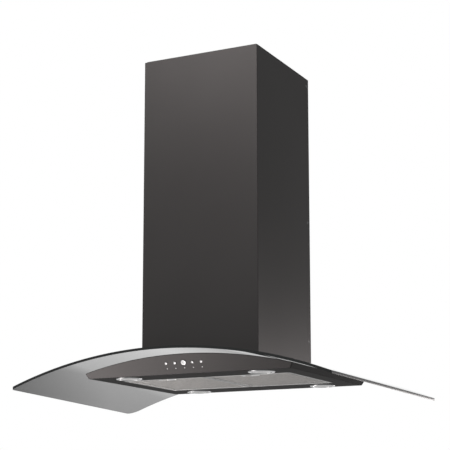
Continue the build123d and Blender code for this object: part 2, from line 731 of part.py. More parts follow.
def angle(out, sheet, leg, z0, z1):
    """An angle section whose corner is at plus out, plus out."""
    whole = slab(out - leg, out, out - leg, out, z0, z1)
    low = out - leg - sheet
    return whole - slab(low, out - sheet, low, out - sheet, z0 - sheet, z1 + sheet)


lower_top = -lower_angle_top
lower_bottom = chassis_bottom - drop + angle_foot_gap
frame_bolt_high = [lower_top - frame_bolt_margin - step * frame_bolt_pitch for step in (0, 1)]
slot_top = frame_bolt_high[0] + bolt_r + slot_margin
slot_bottom = frame_bolt_high[1] - height_travel - bolt_r - slot_margin
upper_bottom = slot_bottom - angle_end
places = {"front_left": (-1, -1), "front_right": (1, -1), "rear_left": (-1, 1), "rear_right": (1, 1)}
bolts = []
nuts = []
ceiling_nuts = []


def across(place, x, y, z, shape):
    """Lay an upright shape along X, pointing inwards from one side of the frame."""
    sx, sy = place
    return Pos(sx * x, sy * y, z) * Rot(0, -90 * sx, 0) * shape


def to_corner(place, shape):
    """Mirror a shape from the rear right corner to another one."""
    sx, sy = place
    if sx < 0:
        shape = mirror(shape, Plane.YZ)
    if sy < 0:
        shape = mirror(shape, Plane.XZ)
    return shape


for name, place in places.items():
    sx, sy = place
    lower = angle(lower_angle_out, angle_sheet, angle_leg, lower_bottom, lower_top)
    upper = angle(upper_angle_out, angle_sheet, angle_leg, upper_bottom, -plate_sheet)
    foot_low = upper_angle_out - angle_leg - foot_lap
    foot_high = upper_angle_in + weld_lap
    foot = slab(foot_low, foot_high, foot_low, foot_high, -plate_sheet - foot_sheet, -plate_sheet)
    upper += foot - rod(bolt_r + bolt_gap, stud_side, stud_side, -plate_sheet - spare, 0)
    slot_x0 = upper_angle_in - weld_lap
    slot_x1 = upper_angle_out + weld_lap
    half_slot = bolt_r + bolt_gap
    upper -= slab(slot_x0, slot_x1, bolt_side - half_slot, bolt_side + half_slot, slot_bottom, slot_top)
    for end in (slot_bottom, slot_top):
        upper -= rod_x(half_slot, slot_x0, slot_x1, bolt_side, end)
    for z in frame_bolt_high:
        lower -= rod_x(half_slot, lower_angle_in - weld_lap, lower_angle_out + weld_lap, bolt_side, z)
    for z in frame_bolt_low:
        lower -= rod_x(half_slot, lower_angle_in - weld_lap, lower_angle_out + weld_lap, bolt_side, z - drop)
    save(f"upper_angle_{name}", to_corner(place, upper))
    save(f"lower_angle_{name}", to_corner(place, lower))
    bolt = Pos(0, 0, -bolt_head) * hexagon(bolt_head_r, bolt_head) + rod(bolt_r, 0, 0, 0, bolt_length)
    nut = hexagon(bolt_head_r, nut_high) - rod(bolt_r + guide_gap, 0, 0, -spare, spare)
    for z in frame_bolt_high:
        bolts.append(across(place, upper_angle_out + bolt_gap, bolt_side, z, bolt))
        nuts.append(across(place, lower_angle_in, bolt_side, z, nut))
    for z in frame_bolt_low:
        bolts.append(across(place, lower_angle_out, bolt_side, z - drop, bolt))
        nuts.append(across(place, chassis_out - chassis_sheet, bolt_side, z - drop, nut))
    nut_z = -plate_sheet - foot_sheet - nut_high
    ceiling_nuts.append(Pos(sx * stud_side, sy * stud_side, nut_z) * nut)
save("frame_bolts", *bolts)
save("frame_nuts", *nuts)
save("ceiling_nuts", *ceiling_nuts)

# Chimney covers: each is a front piece bent to a U and a rear piece, screwed at the seams


def countersink(grow):
    """A countersunk head that narrows into the sheet, with its top at zero."""
    return Pos(0, 0, cover_sheet / 2) * Cone(cover_screw_head + grow, cover_screw_r + grow, cover_sheet)


def cover_screw(sheets):
    """A countersunk screw through so many sheets, pointing up."""
    return countersink(0) + rod(cover_screw_r, 0, 0, cover_sheet / 2, sheets * cover_sheet + screw_tip)


def cover_pair(half, z0, z1, tab_top):
    """The front and rear piece of one square cover, and its seam screws."""
    tube = square_tube(half, cover_corner, cover_sheet, z0, z1)
    seam = half - cover_return
    front = tube & slab(-half, half, -half, seam, z0, z1)
    rear = tube & slab(-half, half, seam, half, z0, z1)
    inner = half - cover_sheet
    y = seam + seam_tab / 2
    screws = []
    for side in (-1, 1):
        tab_in = inner - cover_sheet
        front += slab(side * inner, side * tab_in, seam - tab_lap, seam + seam_tab, z0, tab_top)
        for z in (z0 + seam_screw_low, (z0 + tab_top) / 2, tab_top - seam_screw_high):
            place = Pos(side * half, y, z) * Rot(0, -90 * side, 0)
            front -= place * rod(cover_screw_r + screw_gap, 0, 0, 0, 3 * cover_sheet)
            rear -= place * countersink(screw_gap)
            screws.append(place * cover_screw(2))
    return front, rear, screws


cover_foot = under_arch(glass_thick + cover_seat_gap)
lower_z0 = arch_height(lower_out, glass_thick) - cover_sheet - drop
front, rear, screws = cover_pair(lower_out, lower_z0, -cover_top_gap, -cover_top_gap - tab_clear)
trim = Pos(0, 0, -drop) * cover_foot
save("lower_cover_front", front - trim)
save("lower_cover_rear", rear - trim)
save("lower_cover_screws", *screws)

rim_bottom = -plate_sheet - plate_rim
upper_z0 = -upper_cover_length
front, rear, screws = cover_pair(upper_out, upper_z0, -cover_seat_gap, rim_bottom - rim_clear)
rim_screw_z = -plate_sheet - plate_rim / 2
plate_corner = cover_corner - cover_sheet
plate = extrude(RectangleRounded(2 * upper_in, 2 * upper_in, plate_corner), -plate_sheet)
plate += square_tube(upper_in, plate_corner, rim_sheet, rim_bottom, -plate_sheet / 2)
plate -= rod(duct_hole_r, 0, 0, -spare, spare)
for x, y in corners(ceiling_hole_x / 2, ceiling_hole_y / 2):
    plate -= rod(ceiling_hole_r, x, y, -spare, spare)
for x, y in corners(stud_side, stud_side):
    plate += rod(bolt_r, x, y, -plate_sheet - stud_length, -plate_sheet / 2)
for side in (-1, 1):
    for y in (-upper_out / 2, upper_out / 2):
        place = Pos(side * upper_out, y, rim_screw_z) * Rot(0, -90 * side, 0)
        front -= place * countersink(screw_gap)
        plate -= place * rod(cover_screw_r + screw_gap, 0, 0, 0, spare)
        screws.append(place * cover_screw(3))
save("upper_cover_front", front)
save("upper_cover_rear", rear)
save("upper_cover_screws", *screws)
save("ceiling_plate", plate)
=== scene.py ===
import json
from math import atan2, cos, radians, sin, tan

import bmesh
import bpy
from mathutils import Matrix, Vector

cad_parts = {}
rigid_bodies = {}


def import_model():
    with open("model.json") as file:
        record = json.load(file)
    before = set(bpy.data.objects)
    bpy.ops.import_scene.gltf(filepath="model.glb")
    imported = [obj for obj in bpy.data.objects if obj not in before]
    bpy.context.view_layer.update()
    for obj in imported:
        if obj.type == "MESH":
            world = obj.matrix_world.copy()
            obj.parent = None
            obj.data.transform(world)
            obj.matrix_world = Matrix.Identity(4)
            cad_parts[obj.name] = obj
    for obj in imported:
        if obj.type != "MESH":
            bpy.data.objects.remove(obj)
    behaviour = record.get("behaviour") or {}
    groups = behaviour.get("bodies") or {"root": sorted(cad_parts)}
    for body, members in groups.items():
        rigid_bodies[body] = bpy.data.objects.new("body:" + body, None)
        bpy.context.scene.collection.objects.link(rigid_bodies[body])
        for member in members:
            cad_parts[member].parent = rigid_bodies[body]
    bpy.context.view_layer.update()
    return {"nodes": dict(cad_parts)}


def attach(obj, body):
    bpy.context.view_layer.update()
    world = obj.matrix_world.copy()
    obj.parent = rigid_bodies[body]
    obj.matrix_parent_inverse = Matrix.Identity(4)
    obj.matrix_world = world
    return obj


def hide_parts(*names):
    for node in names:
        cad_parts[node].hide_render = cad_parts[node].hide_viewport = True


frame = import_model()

mm = 0.001

# Viewpoint. A long lens below and to the right of the hood, tipped up a little, so that
# the underside shows as a thin wedge and the chimney rises out of the arch of the glass.

camera_place = (1.5495, -3.1012, -1.1749)
camera_turn = 26.683
camera_tip = 10.175
bpy.ops.object.select_all(action="DESELECT")
bpy.ops.object.camera_add(
    location=camera_place, rotation=(radians(90 + camera_tip), 0, radians(camera_turn))
)
camera = bpy.context.object
camera.name = "camera"
camera.data.lens = 110.8
camera.data.sensor_width = 36
camera.data.shift_y = 0.12
bpy.context.scene.camera = camera
bpy.context.scene.view_settings.view_transform = "Standard"

# Room. The hood hangs well above a plain pale floor. The surroundings are white where they
# are seen straight on, mirrored or through the glass, and lend a softer light elsewhere.

floor_level = -5.2
dim_within = 10.9
white_beyond = 13.0
shade_side = (1, 1, 0)
shade_from = 3.6
shade_to = 5.2
side_glow = 0.66
soft_light = 0.62
horizon_light = 0.5
horizon_band = 0.13


def node(tree, kind, inputs, **settings):
    """A new shader node, its inputs set to a value or wired to another node's socket."""
    made = tree.nodes.new("ShaderNode" + kind)
    for name, value in settings.items():
        setattr(made, name, value)
    for socket, value in inputs.items():
        if isinstance(value, bpy.types.NodeSocket):
            tree.links.new(value, made.inputs[socket])
        else:
            made.inputs[socket].default_value = value
    return made


def compute(tree, operation, first, second=0.0):
    """The result of a calculation on one or two values."""
    return node(tree, "Math", {0: first, 1: second}, operation=operation).outputs["Value"]


def white_where_seen(tree):
    """1 for rays that come from the camera, a mirror or clear glass, and 0 for the rest."""
    path = node(tree, "LightPath", {}).outputs
    mirrored = compute(tree, "MAXIMUM", path["Is Camera Ray"], path["Is Glossy Ray"])
    return compute(tree, "MAXIMUM", mirrored, path["Is Transmission Ray"])


bpy.ops.mesh.primitive_plane_add(size=60, location=(0, 0, floor_level))
floor = bpy.context.object
floor.name = "floor"
floor_paint = bpy.data.materials.new("pale_floor")
floor_paint.use_nodes = True
paint = floor_paint.node_tree
matt = paint.nodes["Principled BSDF"]
matt.inputs["Base Color"].default_value = (0.74, 0.74, 0.74, 1)
matt.inputs["Roughness"].default_value = 0.7
spot = node(paint, "TexCoord", {}).outputs["Object"]
away = node(paint, "VectorMath", {0: spot}, operation="LENGTH").outputs["Value"]
across = node(paint, "VectorMath", {0: spot, 1: shade_side}, operation="DOT_PRODUCT")
far = node(paint, "MapRange", {"Value": away, "From Min": dim_within, "From Max": white_beyond})
aside = node(paint, "MapRange", {
    "Value": across.outputs["Value"], "From Min": shade_from, "From Max": shade_to,
    "To Max": side_glow,
})
glow = compute(paint, "MAXIMUM", far.outputs["Result"], aside.outputs["Result"])
floor_mix = node(paint, "MixShader", {
    "Fac": compute(paint, "MULTIPLY", white_where_seen(paint), glow),
    1: matt.outputs["BSDF"],
    2: node(paint, "Emission", {}).outputs["Emission"],
})
paint.links.new(floor_mix.outputs["Shader"], paint.nodes["Material Output"].inputs["Surface"])
floor.data.materials.append(floor_paint)

surroundings = bpy.data.worlds.new("surroundings")
bpy.context.scene.world = surroundings
surroundings.use_nodes = True
sky = surroundings.node_tree
sky_way = node(sky, "TexCoord", {}).outputs["Generated"]
sky_height = node(sky, "SeparateXYZ", {"Vector": sky_way}).outputs["Z"]
sky_band = node(sky, "MapRange", {
    "Value": compute(sky, "ABSOLUTE", sky_height), "From Max": horizon_band,
    "To Min": horizon_light,
})
sky_white = node(sky, "Mix", {
    "Factor": node(sky, "LightPath", {}).outputs["Is Glossy Ray"], "A": 1,
    "B": sky_band.outputs["Result"],
})
sky_mix = node(sky, "Mix", {
    "Factor": white_where_seen(sky), "A": (soft_light, soft_light, soft_light, 1),
    "B": sky_white.outputs["Result"],
}, data_type="RGBA")
sky.links.new(sky_mix.outputs["Result"], sky.nodes["Background"].inputs["Color"])


def soft_lamp(name, place, target, width, height, power):
    """A softbox that looks at a point."""
    bpy.ops.object.light_add(type="AREA", location=place)
    lamp = bpy.context.object
    lamp.name = name
    lamp.data.shape = "RECTANGLE"
    lamp.data.size = width
    lamp.data.size_y = height
    lamp.data.energy = power
    lamp.data.color = (1, 0.95, 0.94)
    lamp.rotation_euler = (Vector(target) - Vector(place)).to_track_quat("-Z", "Y").to_euler()


soft_lamp("front_softbox", (-1.2, -3.2, 1.75), (0, 0, -0.2), 2.0, 1.2, 62)
soft_lamp("side_softbox", (1.7, 2.9, -0.75), (0.16, 0, -0.65), 1.2, 0.5, 27)
soft_lamp("low_softbox", (-2.3, -1.9, -2.4), (-0.1, -0.2, -0.8), 1.8, 1.5, 75)

# Ceiling plate. A pressed plate of galvanised steel with a turned-down rim and the duct
# hole. It is screwed to the ceiling and carries the frame on four welded studs.


def effect(name, inputs):
    """An empty shader group, its sockets inside, and the place on the object."""
    group = bpy.data.node_groups.new(name, "ShaderNodeTree")
    for label, kind, value in inputs:
        socket = group.interface.new_socket(name=label, in_out="INPUT", socket_type=kind)
        socket.default_value = value
    group.interface.new_socket(name="Shade", in_out="OUTPUT", socket_type="NodeSocketFloat")
    given = group.nodes.new("NodeGroupInput").outputs
    result = group.nodes.new("NodeGroupOutput").inputs["Shade"]
    return group, given, result, node(group, "TexCoord", {}).outputs["Object"]


def grain_effect():
    """Fine noise that Stretch draws out along an axis."""
    inputs = [("Scale", "NodeSocketFloat", 500), ("Stretch", "NodeSocketVector", (1, 1, 1))]
    group, given, result, place = effect("grain", inputs)
    drawn = node(group, "Mapping", {"Vector": place, "Scale": given["Stretch"]}).outputs["Vector"]
    noise = node(group, "TexNoise", {"Vector": drawn, "Scale": given["Scale"], "Detail": 4})
    group.links.new(noise.outputs["Fac"], result)
    return group


def smudge_effect():
    """Broad soft patches."""
    group, given, result, place = effect("smudge", [("Scale", "NodeSocketFloat", 4)])
    noise = node(group, "TexNoise", {
        "Vector": place, "Scale": given["Scale"], "Detail": 2, "Roughness": 0.4,
    }).outputs["Fac"]
    spread = node(group, "MapRange", {"Value": noise, "From Min": 0.3, "From Max": 0.7})
    group.links.new(spread.outputs["Result"], result)
    return group


def spangle_effect():
    """The flat crystals of a zinc coat, each with its own brightness."""
    group, given, result, place = effect("spangle", [("Scale", "NodeSocketFloat", 90)])
    cells = node(group, "TexVoronoi", {"Vector": place, "Scale": given["Scale"]})
    parted = node(group, "SeparateColor", {"Color": cells.outputs["Color"]})
    group.links.new(parted.outputs["Red"], result)
    return group


grain = grain_effect()
smudge = smudge_effect()
spangle = spangle_effect()


def finish(name, **sockets):
    """A new material, with constant values set on its shader."""
    material = bpy.data.materials.new(name)
    material.use_nodes = True
    shader = material.node_tree.nodes["Principled BSDF"]
    for socket, value in sockets.items():
        shader.inputs[socket.replace("_", " ")].default_value = value
    return material


def lay(material, group, **inputs):
    """Places an effect in a material and returns its shade."""
    placed = material.node_tree.nodes.new("ShaderNodeGroup")
    placed.node_tree = group
    for socket, value in inputs.items():
        placed.inputs[socket].default_value = value
    return placed.outputs["Shade"]


def feed(material, result, socket):
    """Wires a result to a socket of the material's shader."""
    tree = material.node_tree
    tree.links.new(result, tree.nodes["Principled BSDF"].inputs[socket])


def tint(material, shade, dark, light):
    """Lets the colour run between two colours."""
    ends = {"Factor": shade, "A": (*dark, 1), "B": (*light, 1)}
    mix = node(material.node_tree, "Mix", ends, data_type="RGBA")
    feed(material, mix.outputs["Result"], "Base Color")


def vary(material, shade, low, high):
    """Lets the roughness run between two values."""
    ends = {"Value": shade, "To Min": low, "To Max": high}
    feed(material, node(material.node_tree, "MapRange", ends).outputs["Result"], "Roughness")


def raise_up(material, shade, depth, strength):
    """Turns a shade into relief of the given depth."""
    relief = {"Height": shade, "Distance": depth, "Strength": strength}
    feed(material, node(material.node_tree, "Bump", relief).outputs["Normal"], "Normal")


def surface(name, colour, roughness, relief=None, **sockets):
    """A material. Each of the three is an effect, its scale and the two values it sets."""
    material = finish(name, **sockets)
    for apply, given in ((tint, colour), (vary, roughness), (raise_up, relief)):
        if given:
            group, scale, low, high = given
            apply(material, lay(material, group, Scale=scale), low, high)
    return material


def coat(material, *nodes):
    """Gives CAD nodes whose shape is right their finish."""
    for name in nodes:
        for place in frame["nodes"][name].material_slots:
            place.material = material


# Zinc-coated sheet steel: dull silver crystals and a faint rolling grain.
galvanised_steel = surface(
    "galvanised_steel", (spangle, 110, (0.40, 0.42, 0.43), (0.62, 0.64, 0.65)),
    (spangle, 110, 0.30, 0.46), (grain, 700, 0.03 * mm, 0.4), Metallic=0.9,
)
coat(galvanised_steel, "ceiling_plate")

# Telescopic frame. Four pairs of galvanised angles slide past each other. Hexagon bolts
# through the long slots of the upper ones, with nuts behind, hold the hood at its height.

bolt_radius = 3.0 * mm
hexagon_radius = 5.6 * mm
hexagon_turned = 0.9 * mm
bolt_head = 4.0 * mm
nut_height = 5.0 * mm
thread_root = 0.86
frame_bolt_length = 16 * mm
close = 0.01 * mm


def fresh():
    """Leaves edit mode with nothing selected."""
    if bpy.context.object and bpy.context.object.mode != "OBJECT":
        bpy.ops.object.mode_set(mode="OBJECT")
    bpy.ops.object.select_all(action="DESELECT")


def take(piece):
    """Makes a piece the only one selected."""
    fresh()
    piece.select_set(True)
    bpy.context.view_layer.objects.active = piece


def settle(piece):
    """Moves a piece's place, turn and scale into its mesh."""
    take(piece)
    bpy.ops.object.transform_apply(location=True, rotation=True, scale=True)
    return piece


def rod(radius, place, length, turn=(0, 0, 0), sides=48):
    """A cylinder with its middle at a place."""
    fresh()
    bpy.ops.mesh.primitive_cylinder_add(
        vertices=sides, radius=radius, depth=length, location=place, rotation=turn
    )
    return settle(bpy.context.object)


def cone(low_radius, high_radius, place, length, turn=(0, 0, 0), sides=32):
    """A cone with its middle at a place."""
    fresh()
    bpy.ops.mesh.primitive_cone_add(
        vertices=sides, radius1=low_radius, radius2=high_radius, depth=length,
        location=place, rotation=turn,
    )
    return settle(bpy.context.object)


def middle(part):
    """The middle of an edge or face."""
    return sum((corner.co for corner in part.verts), Vector()) / len(part.verts)


def near(values, wanted):
    """True where all values are the wanted one."""
    return all(abs(value - wanted) < close for value in values)


def pick(piece, kind, test):
    """Goes into edit mode and selects the verts, edges or faces that pass a test."""
    take(piece)
    bpy.ops.object.mode_set(mode="EDIT")
    bpy.ops.mesh.select_mode(type={"verts": "VERT", "edges": "EDGE", "faces": "FACE"}[kind])
    bpy.ops.mesh.select_all(action="DESELECT")
    mesh = bmesh.from_edit_mesh(piece.data)
    for part in getattr(mesh, kind):
        if test(part):
            part.select_set(True)
    bmesh.update_edit_mesh(piece.data)


def pick_all(piece):
    """Goes into edit mode with everything selected."""
    take(piece)
    bpy.ops.object.mode_set(mode="EDIT")
    bpy.ops.mesh.select_all(action="SELECT")


def done():
    """Leaves edit mode."""
    bpy.ops.object.mode_set(mode="OBJECT")


def round_off(piece, kind, test, width, segments):
    """Bevels the edges, or the rims of the faces, that pass a test."""
    pick(piece, kind, test)
    bpy.ops.mesh.bevel(offset=width, segments=segments)
    done()


def shape(piece, kind, **settings):
    """Adds a modifier, sets it up and applies it."""
    take(piece)
    bpy.ops.object.modifier_add(type=kind)
    step = piece.modifiers[-1]
    for name, value in settings.items():
        setattr(step, name, value)
    bpy.ops.object.modifier_apply(modifier=step.name)


def cut(piece, tool, operation="DIFFERENCE"):
    """Takes a tool's shape out of a piece, and the tool away."""
    shape(piece, "BOOLEAN", operation=operation, object=tool, solver="EXACT")
    bpy.data.objects.remove(tool)


def break_edges(piece, width, segments=2, angle=35):
    """Rounds every sharp edge a little, as a deburred or painted edge is."""
    limit = radians(angle)
    shape(piece, "BEVEL", width=width, segments=segments, limit_method="ANGLE", angle_limit=limit)


def join(pieces):
    """Joins pieces into the first of them."""
    take(pieces[0])
    for piece in pieces[1:]:
        piece.select_set(True)
    bpy.ops.object.join()
    return pieces[0]


def copy_to(model, place):
    """A copy of a model, with its own mesh, moved and turned by a matrix."""
    piece = model.copy()
    piece.data = model.data.copy()
    bpy.context.collection.objects.link(piece)
    piece.matrix_world = place
    return settle(piece)


def fit(piece, name, body, slot, *nodes, angle=32, level=True):
    """Names a finished piece and hangs it on its body, in the place of CAD nodes."""
    take(piece)
    piece.name = name
    piece.data.name = name
    bpy.ops.object.shade_smooth_by_angle(angle=radians(angle))
    if level:
        shape(piece, "WEIGHTED_NORMAL", keep_sharp=True)
    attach(piece, body)
    if nodes:
        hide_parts(*nodes)
    fresh()


def solids(name):
    """The lowest and highest corner of each separate solid in a CAD node."""
    mesh = bmesh.new()
    mesh.from_mesh(frame["nodes"][name].data)
    bmesh.ops.remove_doubles(mesh, verts=mesh.verts, dist=0.001 * mm)
    left = set(mesh.verts)
    found = []
    while left:
        group = [left.pop()]
        for vert in group:
            for link in vert.link_edges:
                other = link.other_vert(vert)
                if other in left:
                    left.remove(other)
                    group.append(other)
        low = Vector([min(vert.co[axis] for vert in group) for axis in range(3)])
        high = Vector([max(vert.co[axis] for vert in group) for axis in range(3)])
        found.append((low, high))
    mesh.free()
    return sorted(found, key=lambda box: [round(value, 4) for value in box[0]])


def facing(place, direction):
    """The matrix that takes a model's +Z to a direction, at a place."""
    turn = Vector(direction).to_track_quat("Z", "Y").to_matrix().to_4x4()
    return Matrix.Translation(place) @ turn


def hexagon(height):
    """A hexagon whose corners are turned down on top, standing on zero."""
    piece = rod(hexagon_radius, (0, 0, height / 2), height, sides=6)
    turned = rod(hexagon_radius * 1.01, (0, 0, height / 2), height)
    round_off(turned, "faces", lambda face: face.normal.z > 0.9, hexagon_turned, 1)
    cut(piece, turned, "INTERSECT")
    return piece


def thread(length):
    """A bolt's shank, turned into rings, so that its outline shows a thread."""
    rings = int(length / mm)
    step = length / (2 * rings)
    piece = rod(bolt_radius, (0, 0, -length / 2), length, sides=16)
    pick_all(piece)
    for number in range(1, 2 * rings):
        bpy.ops.mesh.bisect(plane_co=(0, 0, -number * step), plane_no=(0, 0, 1))
        bpy.ops.mesh.select_all(action="SELECT")
    pick(piece, "verts", lambda vert: round(vert.co.z / step) % 2)
    bpy.ops.transform.resize(value=(thread_root, thread_root, 1), center_override=(0, 0, 0))
    done()
    return piece


def bolt_model(length):
    """A hexagon bolt: its head stands on zero and its shank goes down."""
    return join([hexagon(bolt_head), thread(length)])


def nut_model():
    """A hexagon nut with its bore countersunk."""
    nut = hexagon(nut_height)
    cut(nut, rod(bolt_radius * 1.03, (0, 0, nut_height / 2), 3 * nut_height, sides=24))
    break_edges(nut, 0.12 * mm, segments=1, angle=50)
    return nut


def hardware(model, name, piece_name, body, slot, metal, direction, seat):
    """Copies of a model where a CAD node has its solids, joined into one piece."""
    copies = [copy_to(model, facing(seat(*box), direction(*box))) for box in solids(name)]
    piece = join(copies)
    piece.data.materials.clear()
    piece.data.materials.append(metal)
    fit(piece, piece_name, body, slot, name, angle=28)


def outward(low, high):
    """Along X, away from the middle."""
    return (1, 0, 0) if (low + high).x > 0 else (-1, 0, 0)


def outer_seat(inset):
    """The place on a solid's axis, inset from its outer end."""
    def seat(low, high):
        side = 1 if (low + high).x > 0 else -1
        reach = high.x if side > 0 else low.x
        return Vector((reach - side * inset, (low.y + high.y) / 2, (low.z + high.z) / 2))
    return seat


# Bright zinc plate on a small turned or pressed part, worn a little in patches.
zinc_plate = surface(
    "zinc_plate", (smudge, 160, (0.44, 0.45, 0.46), (0.66, 0.66, 0.64)),
    (smudge, 160, 0.26, 0.42), (grain, 1800, 0.02 * mm, 0.3), Metallic=1.0,
)
frame_bolt = bolt_model(frame_bolt_length)
hardware(frame_bolt, "frame_bolts", "frame_bolt_set", "hood", "bolt_steel", zinc_plate,
         outward, outer_seat(bolt_head))
frame_nut = nut_model()
hardware(frame_nut, "frame_nuts", "frame_nut_set", "hood", "bolt_steel", zinc_plate,
         lambda low, high: -Vector(outward(low, high)), outer_seat(0))
hardware(frame_nut, "ceiling_nuts", "ceiling_nut_set", "ceiling", "bolt_steel", zinc_plate,
         lambda low, high: (0, 0, -1), lambda low, high: Vector((*((low + high) / 2).xy, high.z)))
for tier in ("upper", "lower"):
    for corner in ("front_left", "front_right", "rear_left", "rear_right"):
        coat(galvanised_steel, f"{tier}_angle_{corner}")

# Chimney covers. Thin steel sheet, painted satin black. Each cover is a front piece bent to
# a U and a narrow rear piece, screwed together through a set-back tab along each side seam.

cover_sheet = 1.0 * mm
cover_bend = 1.6 * mm
cover_return = 20 * mm
cover_clear = 0.3 * mm
seam_line = 0.15 * mm
seam_tab = 12 * mm
seam_step = 1.5 * mm
screw_head = 3.0 * mm
seat_deep = 2 * mm
seat_inset = 0.6 * mm
glass_radius = 1181 * mm
glass_thick = 6 * mm
glass_crown = -770.2 * mm
arch_axis = glass_crown - glass_radius
arch_sides = 1440


def black_paint(name, dark, light, edge_tint, smooth, dull):
    """Black-coated steel: satin, metallic, with a warm cast and a very fine orange peel."""
    return surface(
        name, (smudge, 3, dark, light), (grain, 420, smooth, dull), (grain, 420, 0.04 * mm, 0.5),
        Metallic=1.0, Specular_Tint=(edge_tint, edge_tint, edge_tint, 1),
    )


def block(low, high):
    """A block between two corners."""
    fresh()
    low, high = Vector(low), Vector(high)
    bpy.ops.mesh.primitive_cube_add(size=1, location=(low + high) / 2)
    piece = bpy.context.object
    piece.scale = high - low
    return settle(piece)


def upright(edge):
    """True where the ends of an edge differ in height."""
    return abs(edge.verts[0].co.z - edge.verts[1].co.z) > close


def below_arch(rise):
    """All that lies below a surface parallel to the glass and so far above its underside."""
    place = (0, 0, arch_axis)
    return rod(glass_radius + rise, place, 1.2, turn=(radians(90), 0, 0), sides=arch_sides)


def cover_piece(half, seam, foot, top, tab_top, rear):
    """One half of a square cover, before its foot is trimmed to the arch."""
    low_y, high_y = (seam + seam_line, half) if rear else (-half, seam - seam_line)
    open_y, bend_y = (low_y, high_y) if rear else (high_y, low_y)
    piece = block((-half, low_y, foot), (half, high_y, top))
    pick(piece, "faces", lambda face: abs(face.normal.z) > 0.5 or near([middle(face).y], open_y))
    bpy.ops.mesh.delete(type="FACE")
    done()
    round_off(piece, "edges", lambda edge: upright(edge) and near([middle(edge).y], bend_y),
              cover_bend, 4)
    if not rear:
        pick_all(piece)
        bpy.ops.mesh.bisect(plane_co=(0, 0, tab_top), plane_no=(0, 0, 1))
        done()
        pick(piece, "edges", lambda edge: near([vert.co.y for vert in edge.verts], open_y)
             and max(vert.co.z for vert in edge.verts) < tab_top + close)
        for back, inwards in ((seam_step, cover_sheet * 1.1), (seam_tab - seam_step, 0)):
            bpy.ops.mesh.extrude_edges_move(TRANSFORM_OT_translate={"value": (0, back, 0)})
            mesh = bmesh.from_edit_mesh(piece.data)
            for vert in mesh.verts:
                if vert.select:
                    vert.co.x -= inwards if vert.co.x > 0 else -inwards
            bmesh.update_edit_mesh(piece.data)
        done()
    pick_all(piece)
    bpy.ops.mesh.normals_make_consistent(inside=False)
    done()
    shape(piece, "SOLIDIFY", thickness=cover_sheet, offset=-1, use_even_offset=True)
    return piece


def pressed_seats(piece, name):
    """Countersinks for the screws of a CAD node, pressed into the sheet."""
    for box in solids(name):
        side = outward(*box)[0]
        turn = (0, side * radians(90), 0)
        place = outer_seat(seat_inset)(*box)
        cut(piece, cone(screw_head * 0.45, screw_head * 1.2, place, seat_deep, turn))


def covers(tier, body, half, foot, top, tab_top, trimmed):
    """The front and rear piece of one cover."""
    for part, rear in (("front", False), ("rear", True)):
        piece = cover_piece(half, half - cover_return, foot, top, tab_top, rear)
        if trimmed:
            cut(piece, below_arch(glass_thick + cover_clear))
        pressed_seats(piece, f"{tier}_cover_screws")
        break_edges(piece, 0.2 * mm, angle=50)
        piece.data.materials.append(satin_black)
        fit(piece, f"{tier}_chimney_{part}", body, "black_metal", f"{tier}_cover_{part}")


satin_black = black_paint(
    "satin_black", (0.034, 0.0325, 0.0322), (0.038, 0.0365, 0.0362), 0.55, 0.34, 0.42
)
covers("lower", "hood", half=159 * mm, foot=-778 * mm, top=-3 * mm, tab_top=-11 * mm,
       trimmed=True)
covers("upper", "ceiling", half=155 * mm, foot=-420 * mm, top=-0.3 * mm, tab_top=-25.5 * mm,
       trimmed=False)

# Cover screws. Small countersunk screws with a cross recess, blackened to match the paint.
# They sit flush in dimples pressed into the sheet.

screw_shank = 1.5 * mm
screw_sink = 1.2 * mm
screw_length = 2.8 * mm
recess_deep = 0.9 * mm
recess_high = 1.1 * mm
recess_reach = 2.0 * mm


def screw_model():
    """A countersunk screw whose flat top lies on zero, facing up."""
    head = cone(screw_shank, screw_head, (0, 0, -screw_sink / 2), screw_sink)
    for turn in (0, 90):
        place = (0, 0, recess_high / 2 - recess_deep)
        arm = cone(0.2 * recess_reach, recess_reach, place, recess_high, sides=4)
        pick_all(arm)
        bpy.ops.transform.resize(value=(1, 0.3, 1), center_override=(0, 0, 0))
        bpy.ops.transform.rotate(value=radians(turn), orient_axis="Z", center_override=(0, 0, 0))
        done()
        cut(head, arm)
    break_edges(head, 0.08 * mm, segments=1)
    from_top = mm
    shank = screw_length - from_top
    return join([head, rod(screw_shank, (0, 0, -from_top - shank / 2), shank, sides=20)])


# Blackened steel: darker and glossier than the paint, rubbed bright here and there.
black_screw = surface(
    "black_oxide", (smudge, 220, (0.012, 0.012, 0.013), (0.05, 0.048, 0.047)),
    (smudge, 220, 0.25, 0.4), Metallic=0.8,
)
cover_screw = screw_model()
for tier, body in (("lower", "hood"), ("upper", "ceiling")):
    hardware(cover_screw, f"{tier}_cover_screws", f"{tier}_screw_set", body, "black_screw",
             black_screw, outward, outer_seat(0))
for model in (cover_screw, frame_bolt, frame_nut):
    bpy.data.objects.remove(model)

# Glass canopy. One sheet of smoked safety glass, bent to an arch across its width, with
# ground and polished edges, a square cut-out for the blower and four holes for its bolts.

glass_rear_half = 451.5 * mm
glass_front_half = 417 * mm
glass_front = -339 * mm
glass_rear = 291 * mm
glass_bow = 6 * mm
rear_corner = 28 * mm
front_corner = 6 * mm
glass_cutout = 240 * mm
cutout_corner = 18 * mm
bolt_place = 132 * mm
bush_hole = 6.4 * mm
arris = 0.8 * mm
tool_height = 0.2


